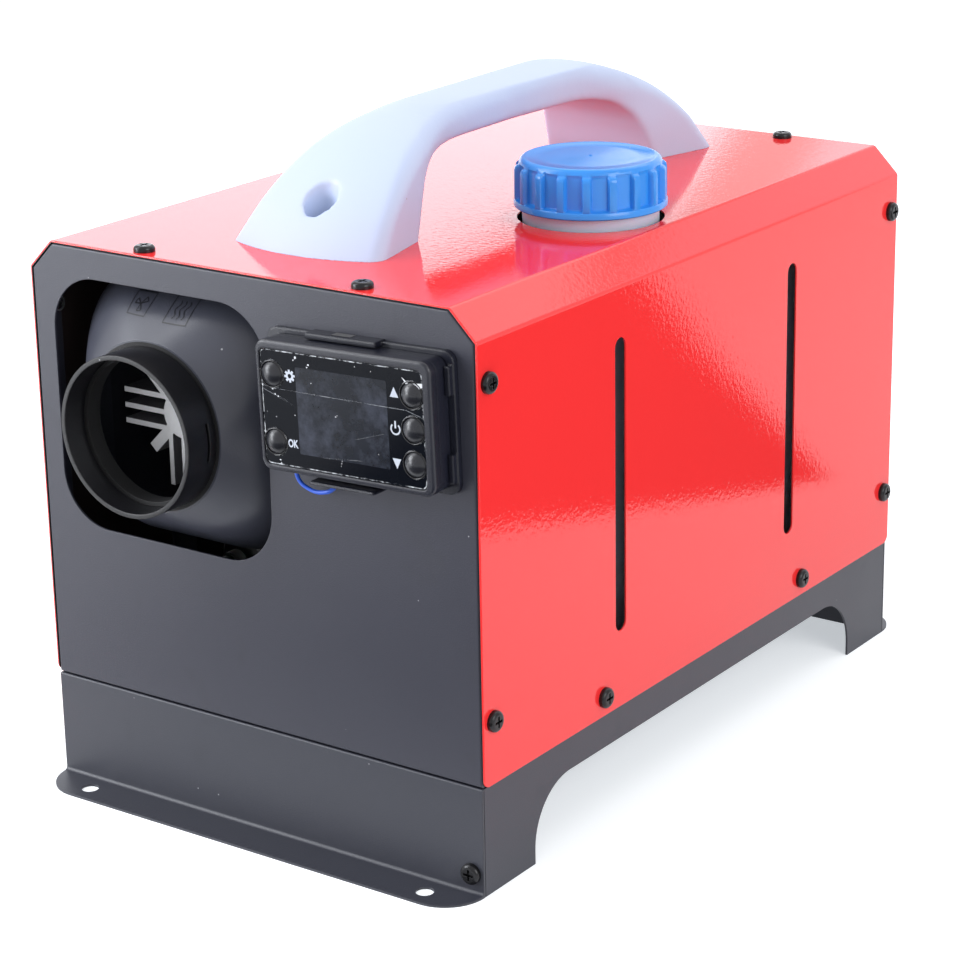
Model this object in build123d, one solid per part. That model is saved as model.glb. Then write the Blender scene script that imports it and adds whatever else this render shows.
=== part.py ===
"""Portable diesel air heater in a steel case: one solid group per separate physical piece.

Millimetres. X to the right seen from the front, Y from the front (outlet side) to the back, Z up.
The origin is on the floor, at the centre of the four foot bolt holes.
"""
from build123d import *
from math import cos, hypot, radians, sin, sqrt, tan
import os

# ---- sheet metal case -------------------------------------------------------------------------
SHEET = 1.0                     # thickness of every case sheet
SEAM = 0.4                      # gap between two sheets laid on each other
COVER_WIDTH = 240.0             # outside, across X
COVER_DEPTH = 359.0             # outside, along Y
COVER_TOP = 255.0
COVER_BOTTOM = 50.0
COVER_CHAMFER = 13.0            # leg of the slanted top edge
COVER_BEND = 2.5                # outside radius of the two bends of each slanted edge
COVER_TOE = 4.0                 # radius of the cover's bottom corners
COVER_EDGE = 0.45               # rounding of the cover's front and back edges
PANEL_SETBACK = 0.0             # front and rear panel faces behind the cover's edges
PANEL_BEND = 0.9                # outside radius round each panel face
PANEL_FLANGE = 15.0             # depth of the panels' inner rim
HEATER_SHARE = 0.2              # heater's axis left of the middle, share of the cover's width
HEATER_DROP = 73.8              # heater's axis below the cover's top
PORT_RISE = 1.8                 # opening's centre above that axis
PORT_WIDTH = 119.2
PORT_HEIGHT = 115.0
PORT_CORNER = 25.0
TRAY_LIP = 16.0                 # height of the tray's rim inside the cover
TRAY_LIP_SHORT = 18.1           # the lips end this far before the tray does
ARCH_MARGIN = 38.5              # case left standing before and behind each side wall's pipe arch
ARCH_TOP = 34.0
ARCH_RADIUS = 27.0
FOOT_FLANGE = 19.4              # floor flange in front of and behind the case
FOOT_CORNER = 20.0
FOOT_RETURN = 15.0              # inward flange at the top of each foot plate
FOOT_TAB = 18.0                 # inward tab on the tray walls for the foot screws
FOOT_TAB_TOP = 44.0
FOOT_FOLD = 1.6                 # inside radius between foot plate and flange
FOOT_HOLE_RADIUS = 4.0
FOOT_HOLE_SPACING = 190.0
FOOT_HOLE_OUT = 10.0            # from the panel face to the hole centre
SLOT_WIDTH = 8.4                # sight slots beside the tank
SLOT_ABOVE = 36.0               # lower end above the cover's lower edge
SLOT_BELOW = 35.5               # upper end below the cover's top
SLOT_OFFSET = 74.5              # from the middle of the case, along Y

# ---- case screws and rivet nuts ---------------------------------------------------------------
SCREW_RADIUS = 2.5
SCREW_HEAD_RADIUS = 4.7
SCREW_HEAD_HEIGHT = 2.8
SCREW_LENGTH = 9.0
SCREW_CLEARANCE = 0.3
RECESS_LENGTH = 5.0             # cross recess
RECESS_WIDTH = 1.1
RECESS_DEPTH = 1.6
NUT_RADIUS = 3.4                # barrel of the rivet nut
NUT_FLANGE_RADIUS = 4.5
NUT_FLANGE = 0.8
NUT_LENGTH = 8.0
THREAD_CLEARANCE = 0.05
EDGE_SCREW_INSET = 7.0          # from the panel face to the rim screws
SIDE_SCREW_DROP = 30.5          # upper side screws below the cover's top
SIDE_SCREW_RISE = 28.7          # lower side screws above the cover's lower edge
TRAY_SCREW_RISE = 9.0
TRAY_SCREW_Y = 88.0
TOP_SCREW_X = 58.7
FOOT_SCREW_INSET = 6.2          # from the foot plate's right end
FOOT_SCREW_Z = 10.0

# ---- carrying handle --------------------------------------------------------------------------
HANDLE_OUTER = ((147.5, -1.8), (134.0, 11.6), (115.0, 26.4), (93.5, 37.9), (66.0, 46.4),
                (36.0, 49.8))   # distance from the middle, height above the cover: crest of each section
HANDLE_INNER = ((97.0, -1.8), (93.0, 7.0), (88.5, 17.0), (81.0, 26.0), (66.0, 32.4), (38.0, 34.4))
HANDLE_TOP = 50.5               # crest above the cover at the middle
HANDLE_UNDER = 34.7
HANDLE_OUTER_WIDTHS = (41.5, 38.0, 34.0, 29.5, 22.5, 17.2)
HANDLE_INNER_WIDTHS = (31.5, 30.5, 29.0, 25.5, 20.0, 16.6)
HANDLE_BULGES = (10.0, 7.5, 5.0, 3.5, 2.6, 2.2)   # how far each crest stands above its corners
HANDLE_GRIP_WIDTH = 16.0        # half width at the middle
HANDLE_GRIP_BULGE = 2.0
HANDLE_CROWN = 7.0              # radius of the upper long edges
HANDLE_EDGE = 2.5               # radius of the lower long edges
HANDLE_SCREW_Y = 123.5
HANDLE_ACCESS_RADIUS = 7.5
HANDLE_SEAT = 7.0               # plastic under the screw head
HANDLE_SCREW_RADIUS = 3.0
HANDLE_HEAD_RADIUS = 6.0
HANDLE_HEAD_HEIGHT = 3.4
HANDLE_NUT_RADIUS = 5.6
HANDLE_NUT_HEIGHT = 5.0

# ---- fuel tank and cap ------------------------------------------------------------------------
TANK_GAP = 10.0                 # between the heater's stand and the tank
TANK_SIDE_GAP = 8.6             # between the tank and the tray's side wall
TANK_END_GAP = 18.1
TANK_SEAT = 0.3                 # gap over the tray's floor
TANK_HEADROOM = 19.0            # tank's top below the cover's top
TANK_WALL = 2.6
TANK_CORNER = 12.0
NECK_SHIFT = 3.4                # neck to the right of the tank's middle
NECK_Y = -18.6
NECK_RADIUS = 30.6
NECK_WALL = 2.8
NECK_RISE = 21.0                # neck's rim above the cover
NECK_HOLE_RADIUS = 33.0         # hole in the cover around the neck
CAP_GAP = 5.3                   # cap's lower edge above the cover
CAP_HEIGHT = 22.0
CAP_BORE_CLEARANCE = 0.4
CAP_WALL_RADIUS = 32.6
CAP_FLANGE_RADIUS = 34.4
CAP_FLANGE = 3.4
CAP_RIB_RADIUS = 34.0
CAP_RIB_WIDTH = 4.4
CAP_RIB_DROP = 4.1              # ribs end below the cap's top
CAP_SHOULDER = 2.2              # height of the slope round the lid
CAP_LID_EDGE = 0.6
CAP_RIBS = 18
CAP_LID_RADIUS = 30.3
SEAL_THICKNESS = 2.1
SEAL_GAP = 0.2
TANK_PORT_Y = -128.0            # fuel outlet low on the tank's inner side
TANK_PORT_Z = 66.0
STRAP_WIDTH = 16.0
STRAP_THICKNESS = 1.0
STRAP_OFFSETS = (-110.0, 100.0)
STRAP_FOOT = 8.0
STRAP_GAP = 0.3

# ---- fuel line, filter and pump ---------------------------------------------------------------
BARB_RADIUS = 2.6
BARB_BORE = 1.2
BARB_LENGTH = 12.0
OUTLET_FLANGE = 2.0             # collar of the tank's outlet fitting
OUTLET_FLANGE_RADIUS = 6.0
HOSE_CLEARANCE = 0.05
HOSE_RADIUS = 4.0
FILTER_RADIUS = 11.0
FILTER_GAP = 37.0               # filter to the left of the tank
FILTER_LENGTH = 30.0
FILTER_WALL = 1.5
FILTER_END_WALL = 3.0
FILTER_EDGE = 2.5
PUMP_OFFSET = 40.0              # pump to the left of the heater's axis
PUMP_SHARE = 0.463              # height of the pump's axis in the space between tray and heater
HOSE_BEND = 13.0                # radii of the hoses' bends
HOSE_WIDE_BEND = 26.0
HOSE_RISE_BEND = 12.0
PUMP_RADIUS = 13.0
PUMP_FRONT = -84.0
PUMP_LENGTH = 64.0
PLUNGER_RADIUS = 6.0
PLUNGER_CLEARANCE = 0.05
PLUNGER_LENGTH = 20.0
PLUNGER_TRAVEL = 1.6
PUMP_WALL = 8.0                 # end wall of the pump's chamber
PLUNGER_REST = 1.0              # plunger's end from that wall at rest
SPRING_WIRE = 0.45
SPRING_RADIUS = 5.0
SPRING_TURNS = 5
PUMP_CRADLE_LENGTH = 24.0
PUMP_CRADLE_WALL = 4.0
SEAT_FIT = 0.05                 # play of a seated round piece
CLIP_WIDTH = 6.0
CLIP_RADIUS = 5.2
CLIP_LUG = 4.0

# ---- heater -----------------------------------------------------------------------------------
HEATER_WIDTH = 116.0
HEATER_HEIGHT = 120.0
HEATER_CORNER = 30.0
HEATER_WALL = 2.0
HEATER_SETBACK = 29.5           # casing behind the front panel's face
HEATER_REAR_GAP = 41.5          # casing before the rear panel's face
COLLAR_RADIUS = 36.0
COLLAR_WALL = 2.0
COLLAR_PROUD = 24.0             # collar's rim in front of the panel
COLLAR_LENGTH = 18.0
COLLAR_SLOT_WIDTH = 1.6
COLLAR_SLOT_HEIGHT = 17.0
COLLAR_SLOT_INSET = 4.0         # from the collar's inner end
SPIGOT_CLEARANCE = 0.1
SPIGOT_LENGTH = 6.0
HOOD_SHOULDER = 2.5             # ring around the collar where the hood's bell starts
HOOD_STEPS = (0.0, 0.12, 0.28, 0.48, 0.72, 1.0)   # sections of the bell, share of its depth
INLET_PROUD = 10.5              # inlet collar's rim behind the rear panel
GUARD_BAR = 1.6
GUARD_RINGS = (12.0, 20.0, 28.0)
GUARD_SPOKES = 8
GUARD_INSET = 10.0              # guard's face behind the inlet's rim
GUARD_FIT = 0.1
GUARD_FRAME = 2.0               # ring of the guard that sits in the collar
GUARD_DEPTH = 4.0
CORE_RADIUS = 38.0
CORE_WALL = 5.0
CORE_SETBACK = 46.0             # core's front behind the casing's front
CORE_REAR_GAP = 123.0           # core's back before the casing's back
FIN_RADIUS = 52.0
FIN_THICKNESS = 2.0
FIN_COUNT = 28
NOSE_PROUD = 16.0               # star of fins in front of the casing
NOSE_REACH = 33.0
NOSE_PITCH = 7.2
NOSE_FIN = 2.4
NOSE_ARM = 5.0
NOSE_ARM_REACH = 25.0
NOSE_HUB_RADIUS = 10.5
FLAME_TUBE_RADIUS = 24.0
FLAME_TUBE_WALL = 1.5
FLAME_TUBE_SETBACK = 18.0       # behind the core's front
BURNER_FLANGE = 6.0
BURNER_FLANGE_RADIUS = 44.0
BURNER_AIR_RADIUS = 15.0
NIPPLE_DROP = 25.2              # nipple's end below the casing
BLOWER_RADIUS = 46.0
BLOWER_CAVITY_RADIUS = 40.0
BLOWER_WALL = 4.0
BLOWER_DEPTH = 37.0
PORT_BLOCK_RADIUS = 17.0        # necks that take the exhaust and intake pipes
NECK_OVERLAP = 8.0              # necks reach this far into the round bodies they carry
EXHAUST_BACK = 59.0             # behind the core's front
EXHAUST_RADIUS = 11.5
INTAKE_BACK = 25.0              # behind the core's back
INTAKE_RADIUS = 12.0
PIPE_WALL = 0.8
PIPE_REACH = 12.8               # into the casing
PIPE_BOTTOM = 20.0
STUB_LENGTH = 24.0              # wider end that takes the hose clamp
STUB_SWELL = 0.5
PIPE_FIT = 0.05
PIPE_HOLE_CLEARANCE = 2.0
MOTOR_RADIUS = 24.0
MOTOR_LENGTH = 46.0             # with the rear boss
MOTOR_BOSS = 4.0
MOTOR_BOSS_RADIUS = 8.0
MOTOR_EDGE = 3.0
SHAFT_RADIUS = 2.5
SHAFT_CLEARANCE = 0.05
SHAFT_START = 19.0              # behind the core's back
SHAFT_SHORT = 8.0               # before the casing's back
IMPELLER_RADIUS = 37.0
IMPELLER_DISC = 3.0
IMPELLER_BLADES = 12
IMPELLER_BLADE_DEPTH = 14.0
IMPELLER_REACH = 36.0           # impeller's back behind the core's back
IMPELLER_HUB = 7.0
IMPELLER_BLADE = 1.6
FAN_RADIUS = 48.0
FAN_HUB_RADIUS = 16.0
FAN_BLADES = 7
FAN_INSET = 29.0                # fan's front before the casing's back
FAN_DEPTH = 18.0
FAN_BLADE_CHORD = 26.0
FAN_PITCH_ANGLE = 38.0
FAN_BLADE_THICKNESS = 1.8
BOARD_THICKNESS = 1.6
BOARD_WIDTH = 70.0
BOARD_DEPTH = 40.0
BOARD_BACK = 47.0               # board's front edge behind the core's back
BOARD_DROP = 19.2               # board below the casing's top
RELAY = (12.0, 14.0, 9.0)       # width, depth, height
RELAY_PLACES = ((10.0, 6.0), (30.0, 6.0), (48.0, 8.0))
CAPACITOR_RADIUS = 4.0
CAPACITOR_HEIGHT = 12.0
CAPACITOR_PLACES = ((14.0, 30.0), (28.0, 30.0))
SOCKET = (22.0, 8.0, 8.0)
SOCKET_PLACE = (42.0, 28.0)
POST_RADIUS = 3.0
SENSOR_BACK = 24.0              # behind the core's front
SENSOR_FOOT = (8.0, 20.0, 3.0)
SENSOR_RADIUS = 3.5
SENSOR_HEIGHT = 7.0
PLUG_INSET = 23.0               # before the core's back
PLUG_RADIUS = 3.0
PLUG_HEX = 6.0
PLUG_HEX_HEIGHT = 6.0
PLUG_HEIGHT = 14.0
GASKET = 2.0
GASKET_HALF_WIDTH = 45.0
GASKET_MARGIN = 28.0            # beyond the two pipes' axes
GASKET_CORNER = 10.0
STAND_SHEET = 1.5
STAND_HALF_DEPTH = 110.0
STAND_OVERHANG = 2.0            # stand plate wider than the heater, each side
STAND_FOOT = 8.0
STAND_LEG_WINDOW = 40.0         # height of the window cut in each stand leg
STAND_WINDOW_MARGIN = 15.0
STAND_WINDOW_CORNER = 8.0
GROMMET_WALL = 2.0
GROMMET_LIP = 2.0
GROMMET_BRIM = 3.0

# ---- controller -------------------------------------------------------------------------------
CONTROLLER_INSET = 54.8         # middle of the controller from the panel's right edge
CONTROLLER_DROP = 48.5          # and below the cover's top
CONTROLLER_TILT = 1.8           # clipped on slightly askew, degrees
CONTROLLER_WIDTH = 89.0
CONTROLLER_HEIGHT = 56.0
CONTROLLER_DEPTH = 12.0
CONTROLLER_CORNER = 5.0
CONTROLLER_FRONT_ABOVE = 15.0   # front face in front of the panel face
BEZEL_DEPTH = 4.5
BEZEL_WEB = 1.5
BEZEL_EDGE = 1.2
BEZEL_WALL = 1.2
LENS_WIDTH = 83.0
LENS_HEIGHT = 49.6
LENS_THICKNESS = 1.0
LENS_RECESS = 0.5
LENS_CORNER = 3.0
LENS_SHIFT_X = -0.8             # face sheet and window sit a little left of and below the middle
LENS_SHIFT_Z = -0.5
LENS_GAP = 0.1
SHELL_WALL = 1.8
SHELL_INSET = 0.4
LCD_WIDTH = 50.0
LCD_HEIGHT = 41.0
LCD_WINDOW_WIDTH = 46.4
LCD_WINDOW_HEIGHT = 37.0
LCD_DEPTH = 2.6
PCB_THICKNESS = 1.2
PCB_MARGIN = 1.0
SHELL_POST_X = 30.0
SHELL_POST_Z = 18.0
SHELL_POST_RADIUS = 2.5
BUTTON_RADIUS = 5.3
BUTTON_CLEARANCE = 0.1
BUTTON_DOME = 2.6               # dome height above the lens
BUTTON_FLANGE_RADIUS = 6.0
BUTTON_FLANGE = 0.8
BUTTON_GAP = 0.2
BUTTON_TRAVEL = 0.8
BUTTON_STEM_RADIUS = 1.5
SWITCH_SIZE = 5.0
SWITCH_HEIGHT = 0.5
STEM_GAP = 0.1
BUTTON_LEFT_X = -36.3
BUTTON_RIGHT_X = 35.0
BUTTON_ROWS = (13.6, -0.9, -15.3)
BRACKET_SHEET = 1.2
BRACKET_WIDTH = 95.0
BRACKET_HEIGHT = 60.0
BRACKET_GAP = 0.3
BRACKET_LIP = 2.2
BRACKET_RIM = 4.0               # width of the rim that the controller sits against
BRACKET_GRIP = 4.0              # reach of the snap lips over the controller's sides
BRACKET_TOP_LIP = (-6.0, 36.0)  # middle and width
BRACKET_BOTTOM_LIP = (-7.0, 34.0)
BRACKET_SIDE_HOOK = 12.0
BRACKET_HOOK_INSET = 4.0
BRACKET_HOOK_SHORT = 1.5
BRACKET_SCREW_X = 24.0
BRACKET_SCREW_RADIUS = 1.9
BRACKET_HEAD_RADIUS = 3.4
BRACKET_HEAD_HEIGHT = 1.2
BRACKET_SCREW_LENGTH = 9.0
LEAD_RADIUS = 0.9
LEAD_HOLE_RADIUS = 1.6
LEAD_HOLE_LEFT = 12.8           # hole in the panel, left of and below the controller's middle
LEAD_HOLE_BELOW = 33.5
LEAD_EXIT_LEFT = 32.8
LEAD_START_BELOW = 25.0         # end of the lead inside the controller's shell
LEAD_EXIT_DEPTH = 3.0           # before the controller's back
LEAD_INSIDE = 12.0              # straight through the panel, up to this far behind its face
LEAD_TURN = 3.5                 # last bend of the loop behind the exit
LEAD_LOOP = ((0.0, 0.0, -2.0), (9.5, 0.5, -5.8), (18.0, 0.0, -3.5))   # X and Y from the exit, Z from the hole
LEAD_RUN = ((9.0, 16.5, 1.0), (0.0, 37.0, 3.0), (0.6, 89.5, -2.0), (-0.6, 139.5, 1.0), (0.5, 194.5, 0.0),
            (-0.3, 234.5, 10.0), (-0.8, 263.5, 14.0))   # X from the middle beside the tank, Y from the panel
LEAD_DROP = 6.0                 # depth of the hole through the shell's lower wall

# ---- power gland in the rear panel ------------------------------------------------------------
GLAND_INSET = 34.6              # from the panel's right edge
GLAND_RISE = 42.0               # above the cover's lower edge
GLAND_RADIUS = 8.0
GLAND_HEX_RADIUS = 12.0
GLAND_HEX = 6.0
GLAND_NUT = 4.0
GLAND_BORE = 4.5
GLAND_INSIDE = 10.0             # sleeve behind the panel sheet
GLAND_OUTSIDE = 18.0
GLAND_EDGE = 3.0

# ---- worked out from the above ----------------------------------------------------------------
SHELL_HALF = COVER_WIDTH / 2 - SHEET - SEAM           # outer face of panels and tray
PANEL_FACE = COVER_DEPTH / 2 - PANEL_SETBACK          # distance of each panel face from the middle
FOOT_TOP = COVER_BOTTOM - SEAM
TRAY_TOP = FOOT_TOP - SHEET - SEAM
TRAY_END = PANEL_FACE - SHEET - SEAM
PORT_CENTRE_X = -HEATER_SHARE * COVER_WIDTH           # air openings, hoods and heater share this axis
PORT_CENTRE_Z = COVER_TOP - HEATER_DROP
HEATER_FRONT = -PANEL_FACE + HEATER_SETBACK
HEATER_BACK = PANEL_FACE - HEATER_REAR_GAP
HEATER_BOTTOM = PORT_CENTRE_Z - HEATER_HEIGHT / 2
COLLAR_RIM_Y = -PANEL_FACE - COLLAR_PROUD
INLET_RIM_Y = PANEL_FACE + INLET_PROUD
CORE_FRONT = HEATER_FRONT + CORE_SETBACK
CORE_BACK = HEATER_BACK - CORE_REAR_GAP
NOSE_FRONT = HEATER_FRONT - NOSE_PROUD
FLAME_TUBE_FRONT = CORE_FRONT + FLAME_TUBE_SETBACK
PORT_BLOCK_BOTTOM = HEATER_BOTTOM + HEATER_WALL
EXHAUST_Y = CORE_FRONT + EXHAUST_BACK
INTAKE_Y = CORE_BACK + INTAKE_BACK
PIPE_TOP = HEATER_BOTTOM + PIPE_REACH
SENSOR_Y = CORE_FRONT + SENSOR_BACK
PLUG_Y = CORE_BACK - PLUG_INSET
BURNER_BACK = CORE_BACK + BURNER_FLANGE
BLOWER_BACK = BURNER_BACK + BLOWER_DEPTH
NIPPLE_Y = CORE_BACK + BURNER_FLANGE / 2
NIPPLE_BOTTOM = HEATER_BOTTOM - NIPPLE_DROP
SHAFT_FRONT = CORE_BACK + SHAFT_START
SHAFT_BACK = HEATER_BACK - SHAFT_SHORT
IMPELLER_BACK = CORE_BACK + IMPELLER_REACH
FAN_FRONT = HEATER_BACK - FAN_INSET
BOARD_FRONT = CORE_BACK + BOARD_BACK
BOARD_Z = PORT_CENTRE_Z + HEATER_HEIGHT / 2 - BOARD_DROP
STAND_TOP = HEATER_BOTTOM - GASKET
TANK_LEFT = PORT_CENTRE_X + HEATER_WIDTH / 2 + STAND_OVERHANG + TANK_GAP
TANK_RIGHT = SHELL_HALF - SHEET - TANK_SIDE_GAP
TANK_HALF_DEPTH = TRAY_END - TANK_END_GAP
TANK_BOTTOM = TRAY_TOP + TANK_SEAT
TANK_TOP = COVER_TOP - TANK_HEADROOM
NECK_X = (TANK_LEFT + TANK_RIGHT) / 2 + NECK_SHIFT
NECK_TOP = COVER_TOP + NECK_RISE
CAP_BOTTOM = COVER_TOP + CAP_GAP
CAP_TOP = CAP_BOTTOM + CAP_HEIGHT
SEAL_TOP = NECK_TOP + SEAL_GAP + SEAL_THICKNESS
FILTER_START = TANK_LEFT - FILTER_GAP
FILTER_END = FILTER_START - FILTER_LENGTH
PUMP_X = PORT_CENTRE_X - PUMP_OFFSET
PUMP_Z = TRAY_TOP + PUMP_SHARE * (HEATER_BOTTOM - TRAY_TOP)
PUMP_BACK = PUMP_FRONT + PUMP_LENGTH
PLUNGER_FRONT = PUMP_FRONT + PUMP_WALL + PLUNGER_REST
CONTROLLER_X = SHELL_HALF - CONTROLLER_INSET
CONTROLLER_Z = COVER_TOP - CONTROLLER_DROP
LEAD_HOLE_X = CONTROLLER_X - LEAD_HOLE_LEFT
LEAD_HOLE_Z = CONTROLLER_Z - LEAD_HOLE_BELOW
LEAD_EXIT_X = CONTROLLER_X - LEAD_EXIT_LEFT
LEAD_START_Z = CONTROLLER_Z - LEAD_START_BELOW
GLAND_X = SHELL_HALF - GLAND_INSET
GLAND_Z = COVER_BOTTOM + GLAND_RISE


# ---- small building blocks --------------------------------------------------------------------
def block(x0, x1, y0, y1, z0, z1):
    """Box between two corners."""
    return Pos((x0 + x1) / 2, (y0 + y1) / 2, (z0 + z1) / 2) * Box(abs(x1 - x0), abs(y1 - y0), abs(z1 - z0))


TURN = {"x": Rot(0, 90, 0), "y": Rot(-90, 0, 0), "z": Rot(0, 0, 0)}


def rod(axis, radius, at, length):
    """Cylinder that starts at a point and runs along +X, +Y or +Z."""
    base = Cylinder(radius, length, align=(Align.CENTER, Align.CENTER, Align.MIN))
    return Pos(*at) * TURN[axis] * base


def tube(axis, outer, inner, at, length):
    """Round tube that starts at a point and runs along +X, +Y or +Z."""
    return rod(axis, outer, at, length) - rod(axis, inner, at, length)


def rounded(width, height, corner):
    """Rounded rectangle in the sketch plane."""
    return RectangleRounded(width, height, corner)


def rounded_slab_y(cx, cz, width, height, corner, y0, y1):
    """Rounded rectangular plate, square to Y."""
    return extrude(Plane.XZ.offset(-y0) * Pos(cx, cz) * rounded(width, height, corner), amount=-(y1 - y0))


def compound(*solids):
    """Several separate solids of one node."""
    return Compound(children=list(solids))


def mirrored_y(solid):
    """The same piece at the other end of the case."""
    return mirror(solid, about=Plane.XZ)


# ---- case -------------------------------------------------------------------------------------
def case_section(inset, bottom):
    """Closed outline of the case's cross-section, moved inward by inset."""
    half = COVER_WIDTH / 2 - inset
    top = COVER_TOP - inset
    leg = COVER_CHAMFER - inset * (2 - sqrt(2))
    return Polyline((-half, bottom), (-half, top - leg), (-half + leg, top), (half - leg, top),
                    (half, top - leg), (half, bottom), close=True)


def bent_section(inset, bottom, radius):
    """Case section with the four bends of the slanted edges rounded."""
    face = Plane.XZ * make_face(case_section(inset, bottom))
    bends = [v for v in face.vertices() if v.Z > bottom + COVER_CHAMFER]
    return fillet(bends, radius)


def case_block(inset, bottom, y0, y1):
    """Solid of the case section between two Y positions."""
    radius = max(COVER_BEND - inset, 0.8)
    return Pos(0, y0, 0) * extrude(bent_section(inset, bottom, radius), amount=-(y1 - y0))


def rim_screw_places():
    """Screws along both panel rims: point on the cover and outward direction."""
    places = []
    for end in (-1, 1):
        y = end * (PANEL_FACE - EDGE_SCREW_INSET)
        for side in (-1, 1):
            for z in (COVER_TOP - SIDE_SCREW_DROP, COVER_BOTTOM + SIDE_SCREW_RISE):
                places.append(((side * COVER_WIDTH / 2, y, z), (side, 0, 0)))
            places.append(((side * TOP_SCREW_X, y, COVER_TOP), (0, 0, 1)))
    return places


def tray_screw_places():
    """Screws through the cover's lower edge into the tray's lips."""
    return [((side * COVER_WIDTH / 2, y, COVER_BOTTOM + TRAY_SCREW_RISE), (side, 0, 0))
            for side in (-1, 1) for y in (-TRAY_SCREW_Y, TRAY_SCREW_Y)]


def foot_screw_places():
    """One screw low at the right end of each foot plate, into the tray's tab."""
    return [((SHELL_HALF - FOOT_SCREW_INSET, end * PANEL_FACE, FOOT_SCREW_Z), (0, end, 0)) for end in (-1, 1)]


def along(place, solid):
    """Puts a solid made about +Z at a screw place, +Z pointing outward."""
    point, direction = place
    return Plane(origin=point, z_dir=direction).location * solid


def holes(places, radius, depth):
    """Drills through the sheet at each place."""
    drill = Pos(0, 0, 1) * Cylinder(radius, depth + 1, align=(Align.CENTER, Align.CENTER, Align.MAX))
    return [along(place, drill) for place in places]


def pan_screw():
    """Pan head screw with a cross recess, head above z = 0."""
    head = Cylinder(SCREW_HEAD_RADIUS, SCREW_HEAD_HEIGHT, align=(Align.CENTER, Align.CENTER, Align.MIN))
    head = fillet(head.edges().sort_by(Axis.Z)[-1], SCREW_HEAD_HEIGHT * 0.6)
    shank = Cylinder(SCREW_RADIUS, SCREW_LENGTH, align=(Align.CENTER, Align.CENTER, Align.MAX))
    recess = Box(RECESS_LENGTH, RECESS_WIDTH, RECESS_DEPTH) + Box(RECESS_WIDTH, RECESS_LENGTH, RECESS_DEPTH)
    return head + shank - Pos(0, 0, SCREW_HEAD_HEIGHT - RECESS_DEPTH / 2) * recess


def rivet_nut(depth):
    """Rivet nut set in the inner sheet, whose outer face is depth below z = 0."""
    inner = depth + SHEET
    hang = (Align.CENTER, Align.CENTER, Align.MAX)
    flange = Pos(0, 0, -inner) * Cylinder(NUT_FLANGE_RADIUS, NUT_FLANGE, align=hang)
    barrel = Pos(0, 0, -depth) * Cylinder(NUT_RADIUS, NUT_LENGTH, align=hang)
    bore = Cylinder(SCREW_RADIUS + THREAD_CLEARANCE, 4 * NUT_LENGTH)
    return flange + barrel - bore


def on_case_outline(point):
    """True for a point on the outer face of the cover."""
    flat = max(abs(point.X) - COVER_WIDTH / 2, point.Z - COVER_TOP)
    slant = (abs(point.X) + point.Z - COVER_WIDTH / 2 - COVER_TOP + COVER_CHAMFER) / sqrt(2)
    return max(flat, slant) > -SHEET / 2


def cover():
    """Folded red sheet over the top and both sides."""
    half = COVER_DEPTH / 2
    shell = case_block(0, COVER_BOTTOM, -half, half)
    shell -= case_block(SHEET, COVER_BOTTOM - SHEET, -half - 1, half + 1)
    toes = shell.edges().filter_by(Axis.X).filter_by(lambda e: e.center().Z < COVER_BOTTOM + 0.1)
    shell = fillet(toes, COVER_TOE)
    rims = [e for end in (-half, half) for e in shell.edges().filter_by_position(Axis.Y, end, end)
            if on_case_outline(e.center())]
    shell = fillet(rims, COVER_EDGE)
    shell -= rod("z", NECK_HOLE_RADIUS, (NECK_X, NECK_Y, COVER_TOP - COVER_CHAMFER), COVER_CHAMFER + 1)
    low, high = COVER_BOTTOM + SLOT_ABOVE, COVER_TOP - SLOT_BELOW
    slot = Plane.YZ * SlotOverall(high - low, SLOT_WIDTH, rotation=90)
    for y in (-SLOT_OFFSET, SLOT_OFFSET):
        shell -= Pos(-COVER_WIDTH, y, (low + high) / 2) * extrude(slot, amount=2 * COVER_WIDTH)
    shell -= holes(rim_screw_places() + tray_screw_places(), SCREW_RADIUS + SCREW_CLEARANCE, SHEET + SEAM)
    for y in (-HANDLE_SCREW_Y, HANDLE_SCREW_Y):
        shell -= rod("z", HANDLE_SCREW_RADIUS + SCREW_CLEARANCE, (0, y, COVER_TOP - SHEET - 1), SHEET + 2)
    return shell


def panel_blank():
    """Front panel pressing with its inner rim, before the openings are cut."""
    inset = SHEET + SEAM
    bottom = COVER_BOTTOM + SEAM
    pan = case_block(inset, bottom, -PANEL_FACE, -PANEL_FACE + PANEL_FLANGE)
    pan = fillet(pan.faces().sort_by(Axis.Y)[0].edges(), PANEL_BEND)
    pan -= case_block(inset + SHEET, bottom + SHEET, -PANEL_FACE + SHEET, -PANEL_FACE + PANEL_FLANGE + 1)
    port = rounded_slab_y(PORT_CENTRE_X, PORT_CENTRE_Z + PORT_RISE, PORT_WIDTH, PORT_HEIGHT, PORT_CORNER,
                          -PANEL_FACE - 1, -PANEL_FACE + SHEET + 1)
    return pan - port


def front_panel():
    """Black front panel with the outlet opening and the controller's fixing holes."""
    pan = panel_blank()
    nuts = [p for p in rim_screw_places() if p[0][1] < 0]
    pan -= [along(place, Cylinder(NUT_RADIUS, 6 * SHEET)) for place in nuts]
    hole = BRACKET_SCREW_RADIUS + SCREW_CLEARANCE
    for x in (-BRACKET_SCREW_X, BRACKET_SCREW_X):
        pan -= on_controller(rod("y", hole, (x, -PANEL_FACE - 1, 0), SHEET + 2))
    return pan - rod("y", LEAD_HOLE_RADIUS, (LEAD_HOLE_X, -PANEL_FACE - 1, LEAD_HOLE_Z), SHEET + 2)


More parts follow.
